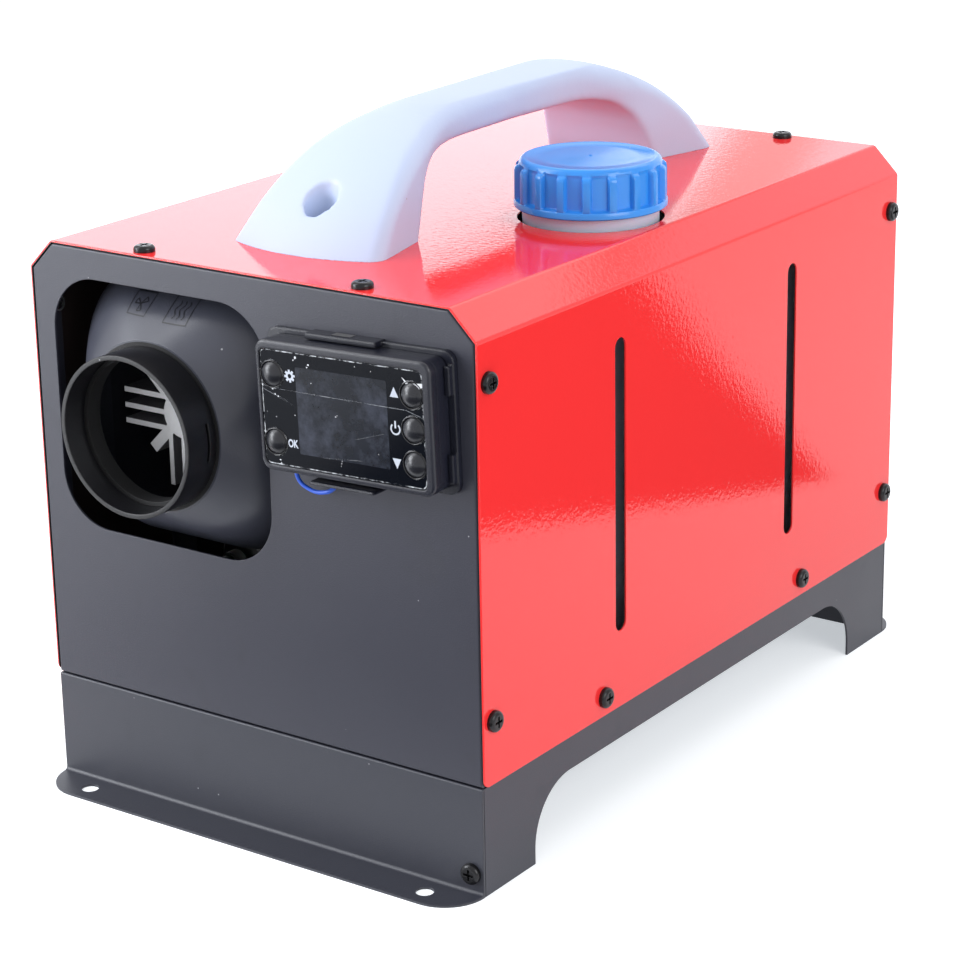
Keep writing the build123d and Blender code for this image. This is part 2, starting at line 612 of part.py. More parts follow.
def rear_panel():
    """Black rear panel with the air inlet opening and the power gland's hole."""
    pan = mirrored_y(panel_blank())
    nuts = [p for p in rim_screw_places() if p[0][1] > 0]
    pan -= [along(place, Cylinder(NUT_RADIUS, 6 * SHEET)) for place in nuts]
    return pan - rod("y", GLAND_RADIUS + SCREW_CLEARANCE, (GLAND_X, PANEL_FACE - SHEET - 1, GLAND_Z), SHEET + 2)


def base_tray():
    """Black base: two arched side walls, the floor plate, lips inside the cover and screw tabs."""
    inner = SHELL_HALF - SHEET
    tray = block(-inner, inner, -TRAY_END, TRAY_END, TRAY_TOP - SHEET, TRAY_TOP)
    for side in (-1, 1):
        tray += block(side * inner, side * SHELL_HALF, -TRAY_END, TRAY_END, 0, FOOT_TOP)
        tray += block(side * inner, side * SHELL_HALF, TRAY_LIP_SHORT - TRAY_END, TRAY_END - TRAY_LIP_SHORT,
                      FOOT_TOP - 1, COVER_BOTTOM + TRAY_LIP)
        for end in (-1, 1):
            tray += block(side * inner, side * (inner - FOOT_TAB), end * TRAY_END,
                          end * (TRAY_END - SHEET), 2 * SHEET, FOOT_TAB_TOP)
    arch = Plane.YZ * make_face(arch_outline())
    tray -= Pos(-COVER_WIDTH, 0, 0) * extrude(arch, amount=2 * COVER_WIDTH)
    nuts = tray_screw_places() + foot_screw_places()
    tray -= [along(place, Cylinder(NUT_RADIUS, 6 * SHEET)) for place in nuts]
    for radius, y in ((EXHAUST_RADIUS, EXHAUST_Y), (INTAKE_RADIUS, INTAKE_Y)):
        tray -= rod("z", radius + GROMMET_WALL, (PORT_CENTRE_X, y, TRAY_TOP - SHEET - 1), SHEET + 2)
    return tray


def arch_outline():
    """Pipe arch: straight legs with two round upper corners."""
    half = COVER_DEPTH / 2 - ARCH_MARGIN
    spring = ARCH_TOP - ARCH_RADIUS
    left = CenterArc((-half + ARCH_RADIUS, spring), ARCH_RADIUS, 90, 90)
    right = CenterArc((half - ARCH_RADIUS, spring), ARCH_RADIUS, 0, 90)
    legs = Polyline((-half, spring), (-half, -1), (half, -1), (half, spring))
    return [left, right, legs, Line((half - ARCH_RADIUS, ARCH_TOP), (-half + ARCH_RADIUS, ARCH_TOP))]


def foot_plate():
    """Front foot: upright plate, floor flange with two bolt holes, top flange turned inward."""
    face = -PANEL_FACE
    plate = block(-SHELL_HALF, SHELL_HALF, face, face + SHEET, 0, FOOT_TOP)
    plate += block(-SHELL_HALF, SHELL_HALF, face, face + FOOT_RETURN, FOOT_TOP - SHEET, FOOT_TOP)
    flange = block(-SHELL_HALF, SHELL_HALF, face - FOOT_FLANGE, face + SHEET, 0, SHEET)
    corners = flange.edges().filter_by(Axis.Z).sort_by(Axis.Y)[:2]
    plate += fillet(corners, FOOT_CORNER - SEAM)
    fold = plate.edges().filter_by(Axis.X).filter_by(
        lambda e: abs(e.center().Z - FOOT_TOP) < 0.01 and abs(e.center().Y - face) < 0.01)
    plate = fillet(fold, SHEET * 0.8)
    heel = plate.edges().filter_by(Axis.X).filter_by(
        lambda e: abs(e.center().Z - SHEET) < 0.01 and abs(e.center().Y - face) < 0.01)
    plate = fillet(heel, FOOT_FOLD)
    for x in (-FOOT_HOLE_SPACING / 2, FOOT_HOLE_SPACING / 2):
        plate -= rod("z", FOOT_HOLE_RADIUS, (x, face - FOOT_HOLE_OUT, -1), SHEET + 2)
    front = [p for p in foot_screw_places() if p[0][1] < 0]
    plate -= holes(front, SCREW_RADIUS + SCREW_CLEARANCE, SHEET + SEAM)
    inner = SHELL_HALF + SEAM
    for side in (-1, 1):      # the tray walls stand beside the top flange
        plate -= block(side * (inner - 2 * SEAM - SHEET), side * (inner + 1), face + SHEET + SEAM / 2,
                       face + FOOT_RETURN + 1, FOOT_TOP - 2 * SHEET, FOOT_TOP + 1)
    return plate


def case_screws():
    """All screws of the case: cover to panels and tray, and foot plates to tray."""
    return compound(*[along(place, pan_screw())
                      for place in rim_screw_places() + tray_screw_places() + foot_screw_places()])


def rivet_nuts():
    """Rivet nuts behind every case screw."""
    deep = SHEET + SEAM
    return compound(*[along(place, rivet_nut(deep))
                      for place in rim_screw_places() + tray_screw_places() + foot_screw_places()])


# ---- handle -----------------------------------------------------------------------------------
def handle_section(outer, inner, outer_half, inner_half, bulge):
    """One cross-section of the handle: rounded trapezium with an arched crest."""
    span = hypot(outer[0] - inner[0], outer[1] - inner[1])
    up = Vector(0, outer[0] - inner[0], outer[1] - inner[1])
    plane = Plane(origin=(0, inner[0], inner[1]), x_dir=(1, 0, 0), z_dir=Vector(1, 0, 0).cross(up))
    shoulder = span - bulge
    sides = Polyline((-outer_half, shoulder), (-inner_half, 0), (inner_half, 0), (outer_half, shoulder))
    crest = ThreePointArc((outer_half, shoulder), (0, span), (-outer_half, shoulder))
    face = make_face([sides, crest])
    low = [v for v in face.vertices() if v.Y < shoulder / 2]
    face = fillet(low, HANDLE_EDGE)
    high = face.vertices().sort_by(Axis.Y)[-2:]
    face = fillet(high, HANDLE_CROWN)
    return plane * face


def handle_sections(end):
    """Sections from one foot (end -1 front, 1 back) up towards the grip."""
    return [handle_section((end * a, COVER_TOP + za), (end * b, COVER_TOP + zb), wa, wb, bulge)
            for (a, za), (b, zb), wa, wb, bulge in
            zip(HANDLE_OUTER, HANDLE_INNER, HANDLE_OUTER_WIDTHS, HANDLE_INNER_WIDTHS, HANDLE_BULGES)]


def handle():
    """Moulded arched handle with two wide feet."""
    middle = handle_section((0, COVER_TOP + HANDLE_TOP), (0, COVER_TOP + HANDLE_UNDER), HANDLE_GRIP_WIDTH,
                            HANDLE_GRIP_WIDTH, HANDLE_GRIP_BULGE)
    body = loft(handle_sections(-1) + [middle] + handle_sections(1)[::-1])
    body -= block(-COVER_WIDTH, COVER_WIDTH, -COVER_DEPTH, COVER_DEPTH, COVER_TOP - 20, COVER_TOP)
    for y in (-HANDLE_SCREW_Y, HANDLE_SCREW_Y):
        body -= rod("z", HANDLE_ACCESS_RADIUS, (0, y, COVER_TOP + HANDLE_SEAT), HANDLE_TOP)
        body -= rod("z", HANDLE_SCREW_RADIUS + SCREW_CLEARANCE, (0, y, COVER_TOP - 1), HANDLE_SEAT + 2)
    return body


def handle_screws():
    """Two hexagon head screws through the handle's feet and the cover."""
    screws = []
    for y in (-HANDLE_SCREW_Y, HANDLE_SCREW_Y):
        seat = COVER_TOP + HANDLE_SEAT
        end = COVER_TOP - SHEET - HANDLE_NUT_HEIGHT - 2
        head = Pos(0, y, seat) * extrude(RegularPolygon(HANDLE_HEAD_RADIUS, 6), amount=HANDLE_HEAD_HEIGHT)
        screws.append(head + rod("z", HANDLE_SCREW_RADIUS, (0, y, end), seat - end))
    return compound(*screws)


def handle_nuts():
    """Nuts of the handle's screws, under the cover."""
    nuts = []
    for y in (-HANDLE_SCREW_Y, HANDLE_SCREW_Y):
        under = COVER_TOP - SHEET
        nut = Pos(0, y, under - HANDLE_NUT_HEIGHT) * extrude(RegularPolygon(HANDLE_NUT_RADIUS, 6),
                                                              amount=HANDLE_NUT_HEIGHT)
        bore = rod("z", HANDLE_SCREW_RADIUS + THREAD_CLEARANCE, (0, y, under - 2 * HANDLE_NUT_HEIGHT),
                   3 * HANDLE_NUT_HEIGHT)
        nuts.append(nut - bore)
    return compound(*nuts)


# ---- fuel tank --------------------------------------------------------------------------------
def tank_block(inset):
    """Rounded block of the tank, moved inward by inset."""
    body = block(TANK_LEFT + inset, TANK_RIGHT - inset, -TANK_HALF_DEPTH + inset, TANK_HALF_DEPTH - inset,
                 TANK_BOTTOM + inset, TANK_TOP - inset)
    return fillet(body.edges(), TANK_CORNER - inset)


def fuel_tank():
    """Blow-moulded tank with its threaded neck, open at the top."""
    foot = TANK_TOP - TANK_WALL
    body = tank_block(0) + rod("z", NECK_RADIUS, (NECK_X, NECK_Y, foot), NECK_TOP - foot)
    body -= tank_block(TANK_WALL)
    body -= rod("z", NECK_RADIUS - NECK_WALL, (NECK_X, NECK_Y, TANK_TOP - 2 * TANK_WALL), NECK_TOP)
    return body - rod("x", BARB_RADIUS + SEAT_FIT, (TANK_LEFT - 1, TANK_PORT_Y, TANK_PORT_Z), TANK_WALL + 2)


def cap_profile():
    """Half section of the cap, radius against height."""
    bore = NECK_RADIUS + CAP_BORE_CLEARANCE
    points = ((0, SEAL_TOP), (bore, SEAL_TOP), (bore, CAP_BOTTOM), (CAP_FLANGE_RADIUS, CAP_BOTTOM),
              (CAP_FLANGE_RADIUS, CAP_BOTTOM + CAP_FLANGE), (CAP_WALL_RADIUS, CAP_BOTTOM + CAP_FLANGE),
              (CAP_WALL_RADIUS, CAP_TOP - CAP_SHOULDER), (CAP_LID_RADIUS, CAP_TOP - CAP_LID_EDGE),
              (CAP_LID_RADIUS - CAP_SHOULDER, CAP_TOP), (0, CAP_TOP))
    return make_face(Plane.XZ * Polyline(*points, close=True))


def fuel_cap():
    """Screw cap with a ribbed wall and a lower flange."""
    body = revolve(cap_profile(), Axis.Z)
    rib = block(CAP_WALL_RADIUS - 0.6, CAP_RIB_RADIUS, -CAP_RIB_WIDTH / 2, CAP_RIB_WIDTH / 2,
                CAP_BOTTOM + CAP_FLANGE - 0.5, CAP_TOP - CAP_RIB_DROP)
    for step in range(CAP_RIBS):
        body += Rot(0, 0, step * 360 / CAP_RIBS) * rib
    return Pos(NECK_X, NECK_Y, 0) * body


def cap_seal():
    """Rubber ring between the neck's rim and the cap."""
    inner = NECK_RADIUS - NECK_WALL - 1
    return tube("z", NECK_RADIUS, inner, (NECK_X, NECK_Y, NECK_TOP + SEAL_GAP), SEAL_THICKNESS)


def tank_straps():
    """Two sheet straps that hold the tank down on the tray."""
    straps = []
    left = TANK_LEFT - STRAP_GAP
    right = TANK_RIGHT + STRAP_GAP
    top = TANK_TOP + STRAP_GAP
    for y in STRAP_OFFSETS:
        y1 = y + STRAP_WIDTH
        outer = block(left - STRAP_THICKNESS, right + STRAP_THICKNESS, y, y1, TRAY_TOP, top + STRAP_THICKNESS)
        strap = outer - block(left, right, y - 1, y1 + 1, TRAY_TOP - 1, top)
        strap += block(left - STRAP_FOOT, left, y, y1, TRAY_TOP, TRAY_TOP + STRAP_THICKNESS)
        straps.append(strap)
    return compound(*straps)


def tank_outlet():
    """Brass outlet fitting in the tank's wall."""
    flange = tube("x", OUTLET_FLANGE_RADIUS, BARB_BORE, (TANK_LEFT - OUTLET_FLANGE, TANK_PORT_Y, TANK_PORT_Z),
                  OUTLET_FLANGE)
    start = TANK_LEFT - OUTLET_FLANGE - BARB_LENGTH
    return flange + tube("x", BARB_RADIUS, BARB_BORE, (start, TANK_PORT_Y, TANK_PORT_Z),
                         TANK_LEFT + TANK_WALL + OUTLET_FLANGE - start)


def fuel_filter():
    """See-through in-line filter with a barb at each end."""
    y, z = TANK_PORT_Y, TANK_PORT_Z
    body = rod("x", FILTER_RADIUS, (FILTER_END, y, z), FILTER_LENGTH)
    body = fillet(body.edges(), FILTER_EDGE)
    body += rod("x", BARB_RADIUS, (FILTER_END - BARB_LENGTH, y, z), FILTER_LENGTH + 2 * BARB_LENGTH)
    body -= rod("x", FILTER_RADIUS - FILTER_WALL, (FILTER_END + FILTER_END_WALL, y, z),
                FILTER_LENGTH - 2 * FILTER_END_WALL)
    return body - rod("x", BARB_BORE, (FILTER_END - BARB_LENGTH - 1, y, z), FILTER_LENGTH + 2 * BARB_LENGTH + 2)


def bent_hose(points, radii):
    """Hose along straight runs joined by tangent arcs."""
    path = FilletPolyline(*points, radius=radii) if radii else Line(*points)
    start = Plane(origin=path @ 0, z_dir=path % 0)
    ring = Circle(HOSE_RADIUS) - Circle(BARB_RADIUS + HOSE_CLEARANCE)
    return sweep(start * ring, path=path)


def hose_tank():
    """Short hose from the tank to the filter."""
    x0 = FILTER_START + 3
    x1 = TANK_LEFT - 4
    return tube("x", HOSE_RADIUS, BARB_RADIUS + HOSE_CLEARANCE, (x0, TANK_PORT_Y, TANK_PORT_Z), x1 - x0)


def hose_pump():
    """Hose from the filter round to the pump's inlet."""
    points = ((FILTER_END - 2, TANK_PORT_Y, TANK_PORT_Z), (PUMP_X, TANK_PORT_Y, TANK_PORT_Z),
              (PUMP_X, PUMP_FRONT - 20, PUMP_Z), (PUMP_X, PUMP_FRONT - 2, PUMP_Z))
    return bent_hose(points, (HOSE_BEND, HOSE_WIDE_BEND))


def hose_heater():
    """Hose from the pump's outlet up to the heater's fuel nipple."""
    points = ((PUMP_X, PUMP_BACK + 2, PUMP_Z), (PUMP_X, NIPPLE_Y - 6, PUMP_Z),
              (PORT_CENTRE_X, NIPPLE_Y, PUMP_Z - 2), (PORT_CENTRE_X, NIPPLE_Y, NIPPLE_BOTTOM + BARB_LENGTH))
    return bent_hose(points, (HOSE_BEND, HOSE_RISE_BEND))


def fuel_pump():
    """Pulse pump: steel body with its chamber and two barbs."""
    body = rod("y", PUMP_RADIUS, (PUMP_X, PUMP_FRONT, PUMP_Z), PUMP_LENGTH)
    body = chamfer(body.edges(), 2.0)
    body += rod("y", BARB_RADIUS, (PUMP_X, PUMP_FRONT - BARB_LENGTH, PUMP_Z), PUMP_LENGTH + 2 * BARB_LENGTH)
    body -= rod("y", PLUNGER_RADIUS + PLUNGER_CLEARANCE, (PUMP_X, PUMP_FRONT + PUMP_WALL, PUMP_Z),
                PUMP_LENGTH - 2 * PUMP_WALL)
    return body - rod("y", BARB_BORE, (PUMP_X, PUMP_FRONT - BARB_LENGTH - 1, PUMP_Z),
                      PUMP_LENGTH + 2 * BARB_LENGTH + 2)


def pump_plunger():
    """Steel plunger that the coil pulls back and forth."""
    return tube("y", PLUNGER_RADIUS, BARB_BORE, (PUMP_X, PLUNGER_FRONT, PUMP_Z), PLUNGER_LENGTH)


def pump_spring():
    """Return spring behind the plunger, one unbroken wire."""
    start = PLUNGER_FRONT + PLUNGER_LENGTH + SPRING_WIRE
    end = PUMP_BACK - PUMP_WALL - PLUNGER_TRAVEL - SPRING_WIRE - 0.1
    pitch = (end - start) / SPRING_TURNS
    path = Helix(pitch, end - start, SPRING_RADIUS)
    print("pump spring, least gap between turns:", round(pitch - 2 * SPRING_WIRE, 2), "mm")
    wire = sweep(Plane(origin=path @ 0, z_dir=path % 0) * Circle(SPRING_WIRE), path=path)
    return Pos(PUMP_X, start, PUMP_Z) * TURN["y"] * wire


def pump_cradle():
    """Rubber cradle that carries the pump on the tray."""
    y0 = PUMP_FRONT + (PUMP_LENGTH - PUMP_CRADLE_LENGTH) / 2
    outer = PUMP_RADIUS + PUMP_CRADLE_WALL
    body = rod("y", outer, (PUMP_X, y0, PUMP_Z), PUMP_CRADLE_LENGTH)
    body += block(PUMP_X - PUMP_RADIUS, PUMP_X + PUMP_RADIUS, y0, y0 + PUMP_CRADLE_LENGTH, TRAY_TOP, PUMP_Z)
    return body - rod("y", PUMP_RADIUS + SEAT_FIT, (PUMP_X, y0 - 1, PUMP_Z), PUMP_CRADLE_LENGTH + 2)


def hose_clips():
    """Six spring bands, one over each barb."""
    y, z = TANK_PORT_Y, TANK_PORT_Z
    spots = (("x", (TANK_LEFT - 13, y, z)), ("x", (FILTER_START + 4, y, z)), ("x", (FILTER_END - 10, y, z)),
             ("y", (PUMP_X, PUMP_FRONT - 9, PUMP_Z)), ("y", (PUMP_X, PUMP_BACK + 4, PUMP_Z)),
             ("z", (PORT_CENTRE_X, NIPPLE_Y, NIPPLE_BOTTOM + 4)))
    ring = tube("z", CLIP_RADIUS, HOSE_RADIUS + HOSE_CLEARANCE, (0, 0, 0), CLIP_WIDTH)
    ring += block(CLIP_RADIUS - 0.6, CLIP_RADIUS + CLIP_LUG, -1, 1, 0, CLIP_WIDTH)
    return compound(*[Pos(*at) * TURN[axis] * ring for axis, at in spots])


# ---- heater -----------------------------------------------------------------------------------
def heater_section(width, height, corner, y):
    """Rounded rectangular section of the heater's casing at one Y position."""
    return Plane.XZ.offset(-y) * Pos(PORT_CENTRE_X, PORT_CENTRE_Z) * rounded(width, height, corner)


def hood_skin(inset, ends):
    """Bell from a round shoulder out to the rounded rectangular casing."""
    start, stop = ends
    ring = COLLAR_RADIUS + HOOD_SHOULDER
    faces = []
    for share in HOOD_STEPS:
        swell = sin(radians(90 * share))
        half_w = ring + (HEATER_WIDTH / 2 - ring) * swell - inset
        half_h = ring + (HEATER_HEIGHT / 2 - ring) * swell - inset
        corner = ring + (HEATER_CORNER - ring) * share - inset - 0.5
        faces.append(heater_section(2 * half_w, 2 * half_h, corner, start + (stop - start) * share))
    return loft(faces)


def outlet_hood():
    """Moulded outlet hood with the spigot that carries the collar."""
    front = COLLAR_RIM_Y + COLLAR_LENGTH
    body = hood_skin(0, (front, HEATER_FRONT))
    body -= hood_skin(HEATER_WALL, (front, HEATER_FRONT))
    spigot = COLLAR_RADIUS - COLLAR_WALL - SPIGOT_CLEARANCE
    inner = spigot - COLLAR_WALL
    body -= rod("y", inner, (PORT_CENTRE_X, front - 1, PORT_CENTRE_Z), SPIGOT_LENGTH)
    ring = COLLAR_RADIUS + HOOD_SHOULDER - 0.5
    body += tube("y", ring, inner, (PORT_CENTRE_X, front, PORT_CENTRE_Z), HEATER_WALL)
    return body + tube("y", spigot, inner, (PORT_CENTRE_X, front - SPIGOT_LENGTH, PORT_CENTRE_Z),
                       SPIGOT_LENGTH + HEATER_WALL)


def outlet_collar():
    """Round collar clipped on the outlet spigot; the warm air duct slides over it."""
    inner = COLLAR_RADIUS - COLLAR_WALL
    ring = tube("y", COLLAR_RADIUS, inner, (PORT_CENTRE_X, COLLAR_RIM_Y, PORT_CENTRE_Z), COLLAR_LENGTH)
    y0 = COLLAR_RIM_Y + COLLAR_LENGTH - COLLAR_SLOT_INSET - COLLAR_SLOT_WIDTH
    for side in (-1, 1):
        ring -= block(PORT_CENTRE_X + side * (inner - 2), PORT_CENTRE_X + side * (COLLAR_RADIUS + 2), y0,
                      y0 + COLLAR_SLOT_WIDTH, PORT_CENTRE_Z - COLLAR_SLOT_HEIGHT / 2,
                      PORT_CENTRE_Z + COLLAR_SLOT_HEIGHT / 2)
    return ring


def inlet_hood():
    """Rear hood of the heater with its round inlet collar in one moulding."""
    mouth = INLET_RIM_Y - COLLAR_LENGTH
    body = hood_skin(0, (mouth, HEATER_BACK))
    body -= hood_skin(HEATER_WALL, (mouth, HEATER_BACK))
    inner = COLLAR_RADIUS - COLLAR_WALL
    body -= rod("y", inner, (PORT_CENTRE_X, mouth - SPIGOT_LENGTH, PORT_CENTRE_Z), SPIGOT_LENGTH + 1)
    ring = COLLAR_RADIUS + HOOD_SHOULDER - 0.5
    body += tube("y", ring, inner, (PORT_CENTRE_X, mouth - HEATER_WALL, PORT_CENTRE_Z), HEATER_WALL)
    return body + tube("y", COLLAR_RADIUS, inner, (PORT_CENTRE_X, mouth - HEATER_WALL, PORT_CENTRE_Z),
                       COLLAR_LENGTH + HEATER_WALL)


def inlet_guard():
    """Finger guard pushed into the inlet collar: frame ring, three rings and eight spokes."""
    outer = COLLAR_RADIUS - COLLAR_WALL - GUARD_FIT
    y0 = INLET_RIM_Y - GUARD_INSET
    at = (PORT_CENTRE_X, y0, PORT_CENTRE_Z)
    body = tube("y", outer, outer - GUARD_FRAME, (PORT_CENTRE_X, y0 + GUARD_BAR - GUARD_DEPTH, PORT_CENTRE_Z),
                GUARD_DEPTH)
    for radius in GUARD_RINGS:
        body += tube("y", radius + GUARD_BAR / 2, radius - GUARD_BAR / 2, at, GUARD_BAR)
    spoke = block(GUARD_RINGS[0] - GUARD_BAR / 2, outer - GUARD_FRAME / 2, 0, GUARD_BAR, -GUARD_BAR / 2,
                  GUARD_BAR / 2)
    for step in range(GUARD_SPOKES):
        body += Pos(*at) * Rot(0, step * 360 / GUARD_SPOKES, 0) * spoke
    return body


def casing_tube():
    """Full casing tube, split later into its two halves."""
    outer = rounded_slab_y(PORT_CENTRE_X, PORT_CENTRE_Z, HEATER_WIDTH, HEATER_HEIGHT, HEATER_CORNER,
                           HEATER_FRONT, HEATER_BACK)
    return outer - rounded_slab_y(PORT_CENTRE_X, PORT_CENTRE_Z, HEATER_WIDTH - 2 * HEATER_WALL,
                                  HEATER_HEIGHT - 2 * HEATER_WALL, HEATER_CORNER - HEATER_WALL,
                                  HEATER_FRONT - 1, HEATER_BACK + 1)


def pipe_holes(z0, z1, extra):
    """Holes for the exhaust, the combustion air intake and the fuel nipple."""
    depth = z1 - z0
    return [rod("z", EXHAUST_RADIUS + extra, (PORT_CENTRE_X, EXHAUST_Y, z0), depth),
            rod("z", INTAKE_RADIUS + extra, (PORT_CENTRE_X, INTAKE_Y, z0), depth),
            rod("z", BARB_RADIUS + 1, (PORT_CENTRE_X, NIPPLE_Y, z0), depth)]


def heater_case_lower():
    """Lower half of the plastic casing."""
    half = casing_tube() - block(-COVER_WIDTH, COVER_WIDTH, -COVER_DEPTH, COVER_DEPTH, PORT_CENTRE_Z, COVER_TOP)
    return half - pipe_holes(HEATER_BOTTOM - 1, HEATER_BOTTOM + HEATER_WALL + 1, PIPE_HOLE_CLEARANCE)


def heater_case_upper():
    """Upper half of the plastic casing with the circuit board's four posts."""
    half = casing_tube() - block(-COVER_WIDTH, COVER_WIDTH, -COVER_DEPTH, COVER_DEPTH, 0, PORT_CENTRE_Z)
    roof = PORT_CENTRE_Z + HEATER_HEIGHT / 2 - HEATER_WALL / 2
    under = BOARD_Z + BOARD_THICKNESS
    for x in (-BOARD_WIDTH / 2 + 2 * POST_RADIUS, BOARD_WIDTH / 2 - 2 * POST_RADIUS):
        for y in (BOARD_FRONT + 2 * POST_RADIUS, BOARD_FRONT + BOARD_DEPTH - 2 * POST_RADIUS):
            half += rod("z", POST_RADIUS, (PORT_CENTRE_X + x, y, under), roof - under)
    return half


def heat_exchanger():
    """Cast aluminium heat exchanger: closed tube, long fins, star of fins at the outlet, exhaust neck."""
    x, z = PORT_CENTRE_X, PORT_CENTRE_Z
    body = rod("y", CORE_RADIUS, (0, CORE_FRONT, 0), CORE_BACK - CORE_FRONT)
    fin = block(CORE_RADIUS - 1, FIN_RADIUS, CORE_FRONT + 2, CORE_BACK - BURNER_FLANGE, -FIN_THICKNESS / 2,
                FIN_THICKNESS / 2)
    for step in range(FIN_COUNT):
        angle = (step + 0.5) * 360 / FIN_COUNT
        if abs(sin(radians(angle))) < cos(radians(360 / FIN_COUNT)):   # none over the neck and the plug
            body += Rot(0, angle, 0) * fin
    star = rod("y", NOSE_HUB_RADIUS, (0, NOSE_FRONT, 0), CORE_FRONT - NOSE_FRONT + 1)
    for quarter in range(4):
        for row in (-1, 0, 1):
            bar = block(0, NOSE_REACH, NOSE_FRONT, CORE_FRONT + 1, row * NOSE_PITCH - NOSE_FIN / 2,
                        row * NOSE_PITCH + NOSE_FIN / 2)
            star += Rot(0, quarter * 90, 0) * bar
        arm = block(0, NOSE_ARM_REACH, NOSE_FRONT, CORE_FRONT + 1, -NOSE_ARM / 2, NOSE_ARM / 2)
        star += Rot(0, 45 + quarter * 90, 0) * arm
    body = Pos(x, 0, z) * (body + star)
    neck_top = z - CORE_RADIUS + NECK_OVERLAP
    body += rod("z", PORT_BLOCK_RADIUS, (x, EXHAUST_Y, PORT_BLOCK_BOTTOM), neck_top - PORT_BLOCK_BOTTOM)
    body -= rod("y", CORE_RADIUS - CORE_WALL, (x, CORE_FRONT + CORE_WALL, z), CORE_BACK - CORE_FRONT)
    body -= pipe_seat(EXHAUST_RADIUS, EXHAUST_Y, neck_top)
    return body - rod("z", PLUG_RADIUS + PIPE_FIT, (x, PLUG_Y, z), CORE_RADIUS + 5)


def pipe_seat(radius, y, top):
    """Bore of a cast neck: a seat for the pipe, and the passage above it."""
    at = (PORT_CENTRE_X, y, PORT_BLOCK_BOTTOM - 1)
    seat = rod("z", radius + PIPE_FIT, at, PIPE_TOP - PORT_BLOCK_BOTTOM + 1)
    return seat + rod("z", radius - PIPE_WALL, at, top + 2 - PORT_BLOCK_BOTTOM)


def burner_tube():
    """Flame tube with its flange, air hole and fuel nipple."""
    x, z = PORT_CENTRE_X, PORT_CENTRE_Z
    body = rod("y", BURNER_FLANGE_RADIUS, (x, CORE_BACK, z), BURNER_FLANGE)
    body += rod("y", FLAME_TUBE_RADIUS, (x, FLAME_TUBE_FRONT, z), CORE_BACK - FLAME_TUBE_FRONT)
    body -= rod("y", FLAME_TUBE_RADIUS - FLAME_TUBE_WALL, (x, FLAME_TUBE_FRONT - 1, z),
                CORE_BACK - FLAME_TUBE_FRONT + 1)
    body -= rod("y", BURNER_AIR_RADIUS, (x, CORE_BACK - 1, z), BURNER_FLANGE + 2)
    top = z - BURNER_FLANGE_RADIUS + 6
    body += rod("z", BARB_RADIUS, (x, NIPPLE_Y, NIPPLE_BOTTOM), top - NIPPLE_BOTTOM)
    return body - rod("z", BARB_BORE, (x, NIPPLE_Y, NIPPLE_BOTTOM - 1), z - NIPPLE_BOTTOM)


def glow_plug():
    """Ceramic glow plug screwed through the heat exchanger's wall."""
    base = PORT_CENTRE_Z + FLAME_TUBE_RADIUS + 1
    seat = PORT_CENTRE_Z + CORE_RADIUS
    pin = rod("z", PLUG_RADIUS, (PORT_CENTRE_X, PLUG_Y, base), seat + PLUG_HEIGHT - base)
    return pin + Pos(PORT_CENTRE_X, PLUG_Y, seat) * extrude(RegularPolygon(PLUG_HEX, 6), amount=PLUG_HEX_HEIGHT)


def overheat_sensor():
    """Overheat sensor clipped on top of the heat exchanger."""
    seat = PORT_CENTRE_Z + CORE_RADIUS
    foot = Pos(PORT_CENTRE_X, SENSOR_Y, seat + SENSOR_FOOT[2] / 2) * Box(*SENSOR_FOOT)
    return foot + rod("z", SENSOR_RADIUS, (PORT_CENTRE_X, SENSOR_Y, seat + SENSOR_FOOT[2]), SENSOR_HEIGHT)


def blower_housing():
    """Cast housing of the combustion air blower with its intake neck."""
    x, z = PORT_CENTRE_X, PORT_CENTRE_Z
    body = rod("y", BLOWER_RADIUS, (x, BURNER_BACK, z), BLOWER_DEPTH)
    neck_top = z - BLOWER_CAVITY_RADIUS
    body += rod("z", PORT_BLOCK_RADIUS, (x, INTAKE_Y, PORT_BLOCK_BOTTOM), neck_top - PORT_BLOCK_BOTTOM)
    body -= rod("y", BLOWER_CAVITY_RADIUS, (x, BURNER_BACK + BLOWER_WALL, z), BLOWER_DEPTH - 2 * BLOWER_WALL)
    body -= rod("y", BURNER_AIR_RADIUS, (x, BURNER_BACK - 1, z), BLOWER_WALL + 2)
    body -= rod("y", 2 * SHAFT_RADIUS, (x, BLOWER_BACK - BLOWER_WALL - 1, z), BLOWER_WALL + 2)
    return body - pipe_seat(INTAKE_RADIUS, INTAKE_Y, neck_top + BLOWER_WALL)


def fan_motor():
    """Motor can with a rear boss."""
    x, z = PORT_CENTRE_X, PORT_CENTRE_Z
    can = rod("y", MOTOR_RADIUS, (x, BLOWER_BACK, z), MOTOR_LENGTH - MOTOR_BOSS)
    can = fillet(can.edges().sort_by(Axis.Y)[-1], MOTOR_EDGE)
    can += rod("y", MOTOR_BOSS_RADIUS, (x, BLOWER_BACK, z), MOTOR_LENGTH)
    return can - rod("y", SHAFT_RADIUS + SHAFT_CLEARANCE, (x, BLOWER_BACK - 1, z), MOTOR_LENGTH + 2)


def motor_shaft():
    """Steel shaft that carries both rotors."""
    return rod("y", SHAFT_RADIUS, (PORT_CENTRE_X, SHAFT_FRONT, PORT_CENTRE_Z), SHAFT_BACK - SHAFT_FRONT)


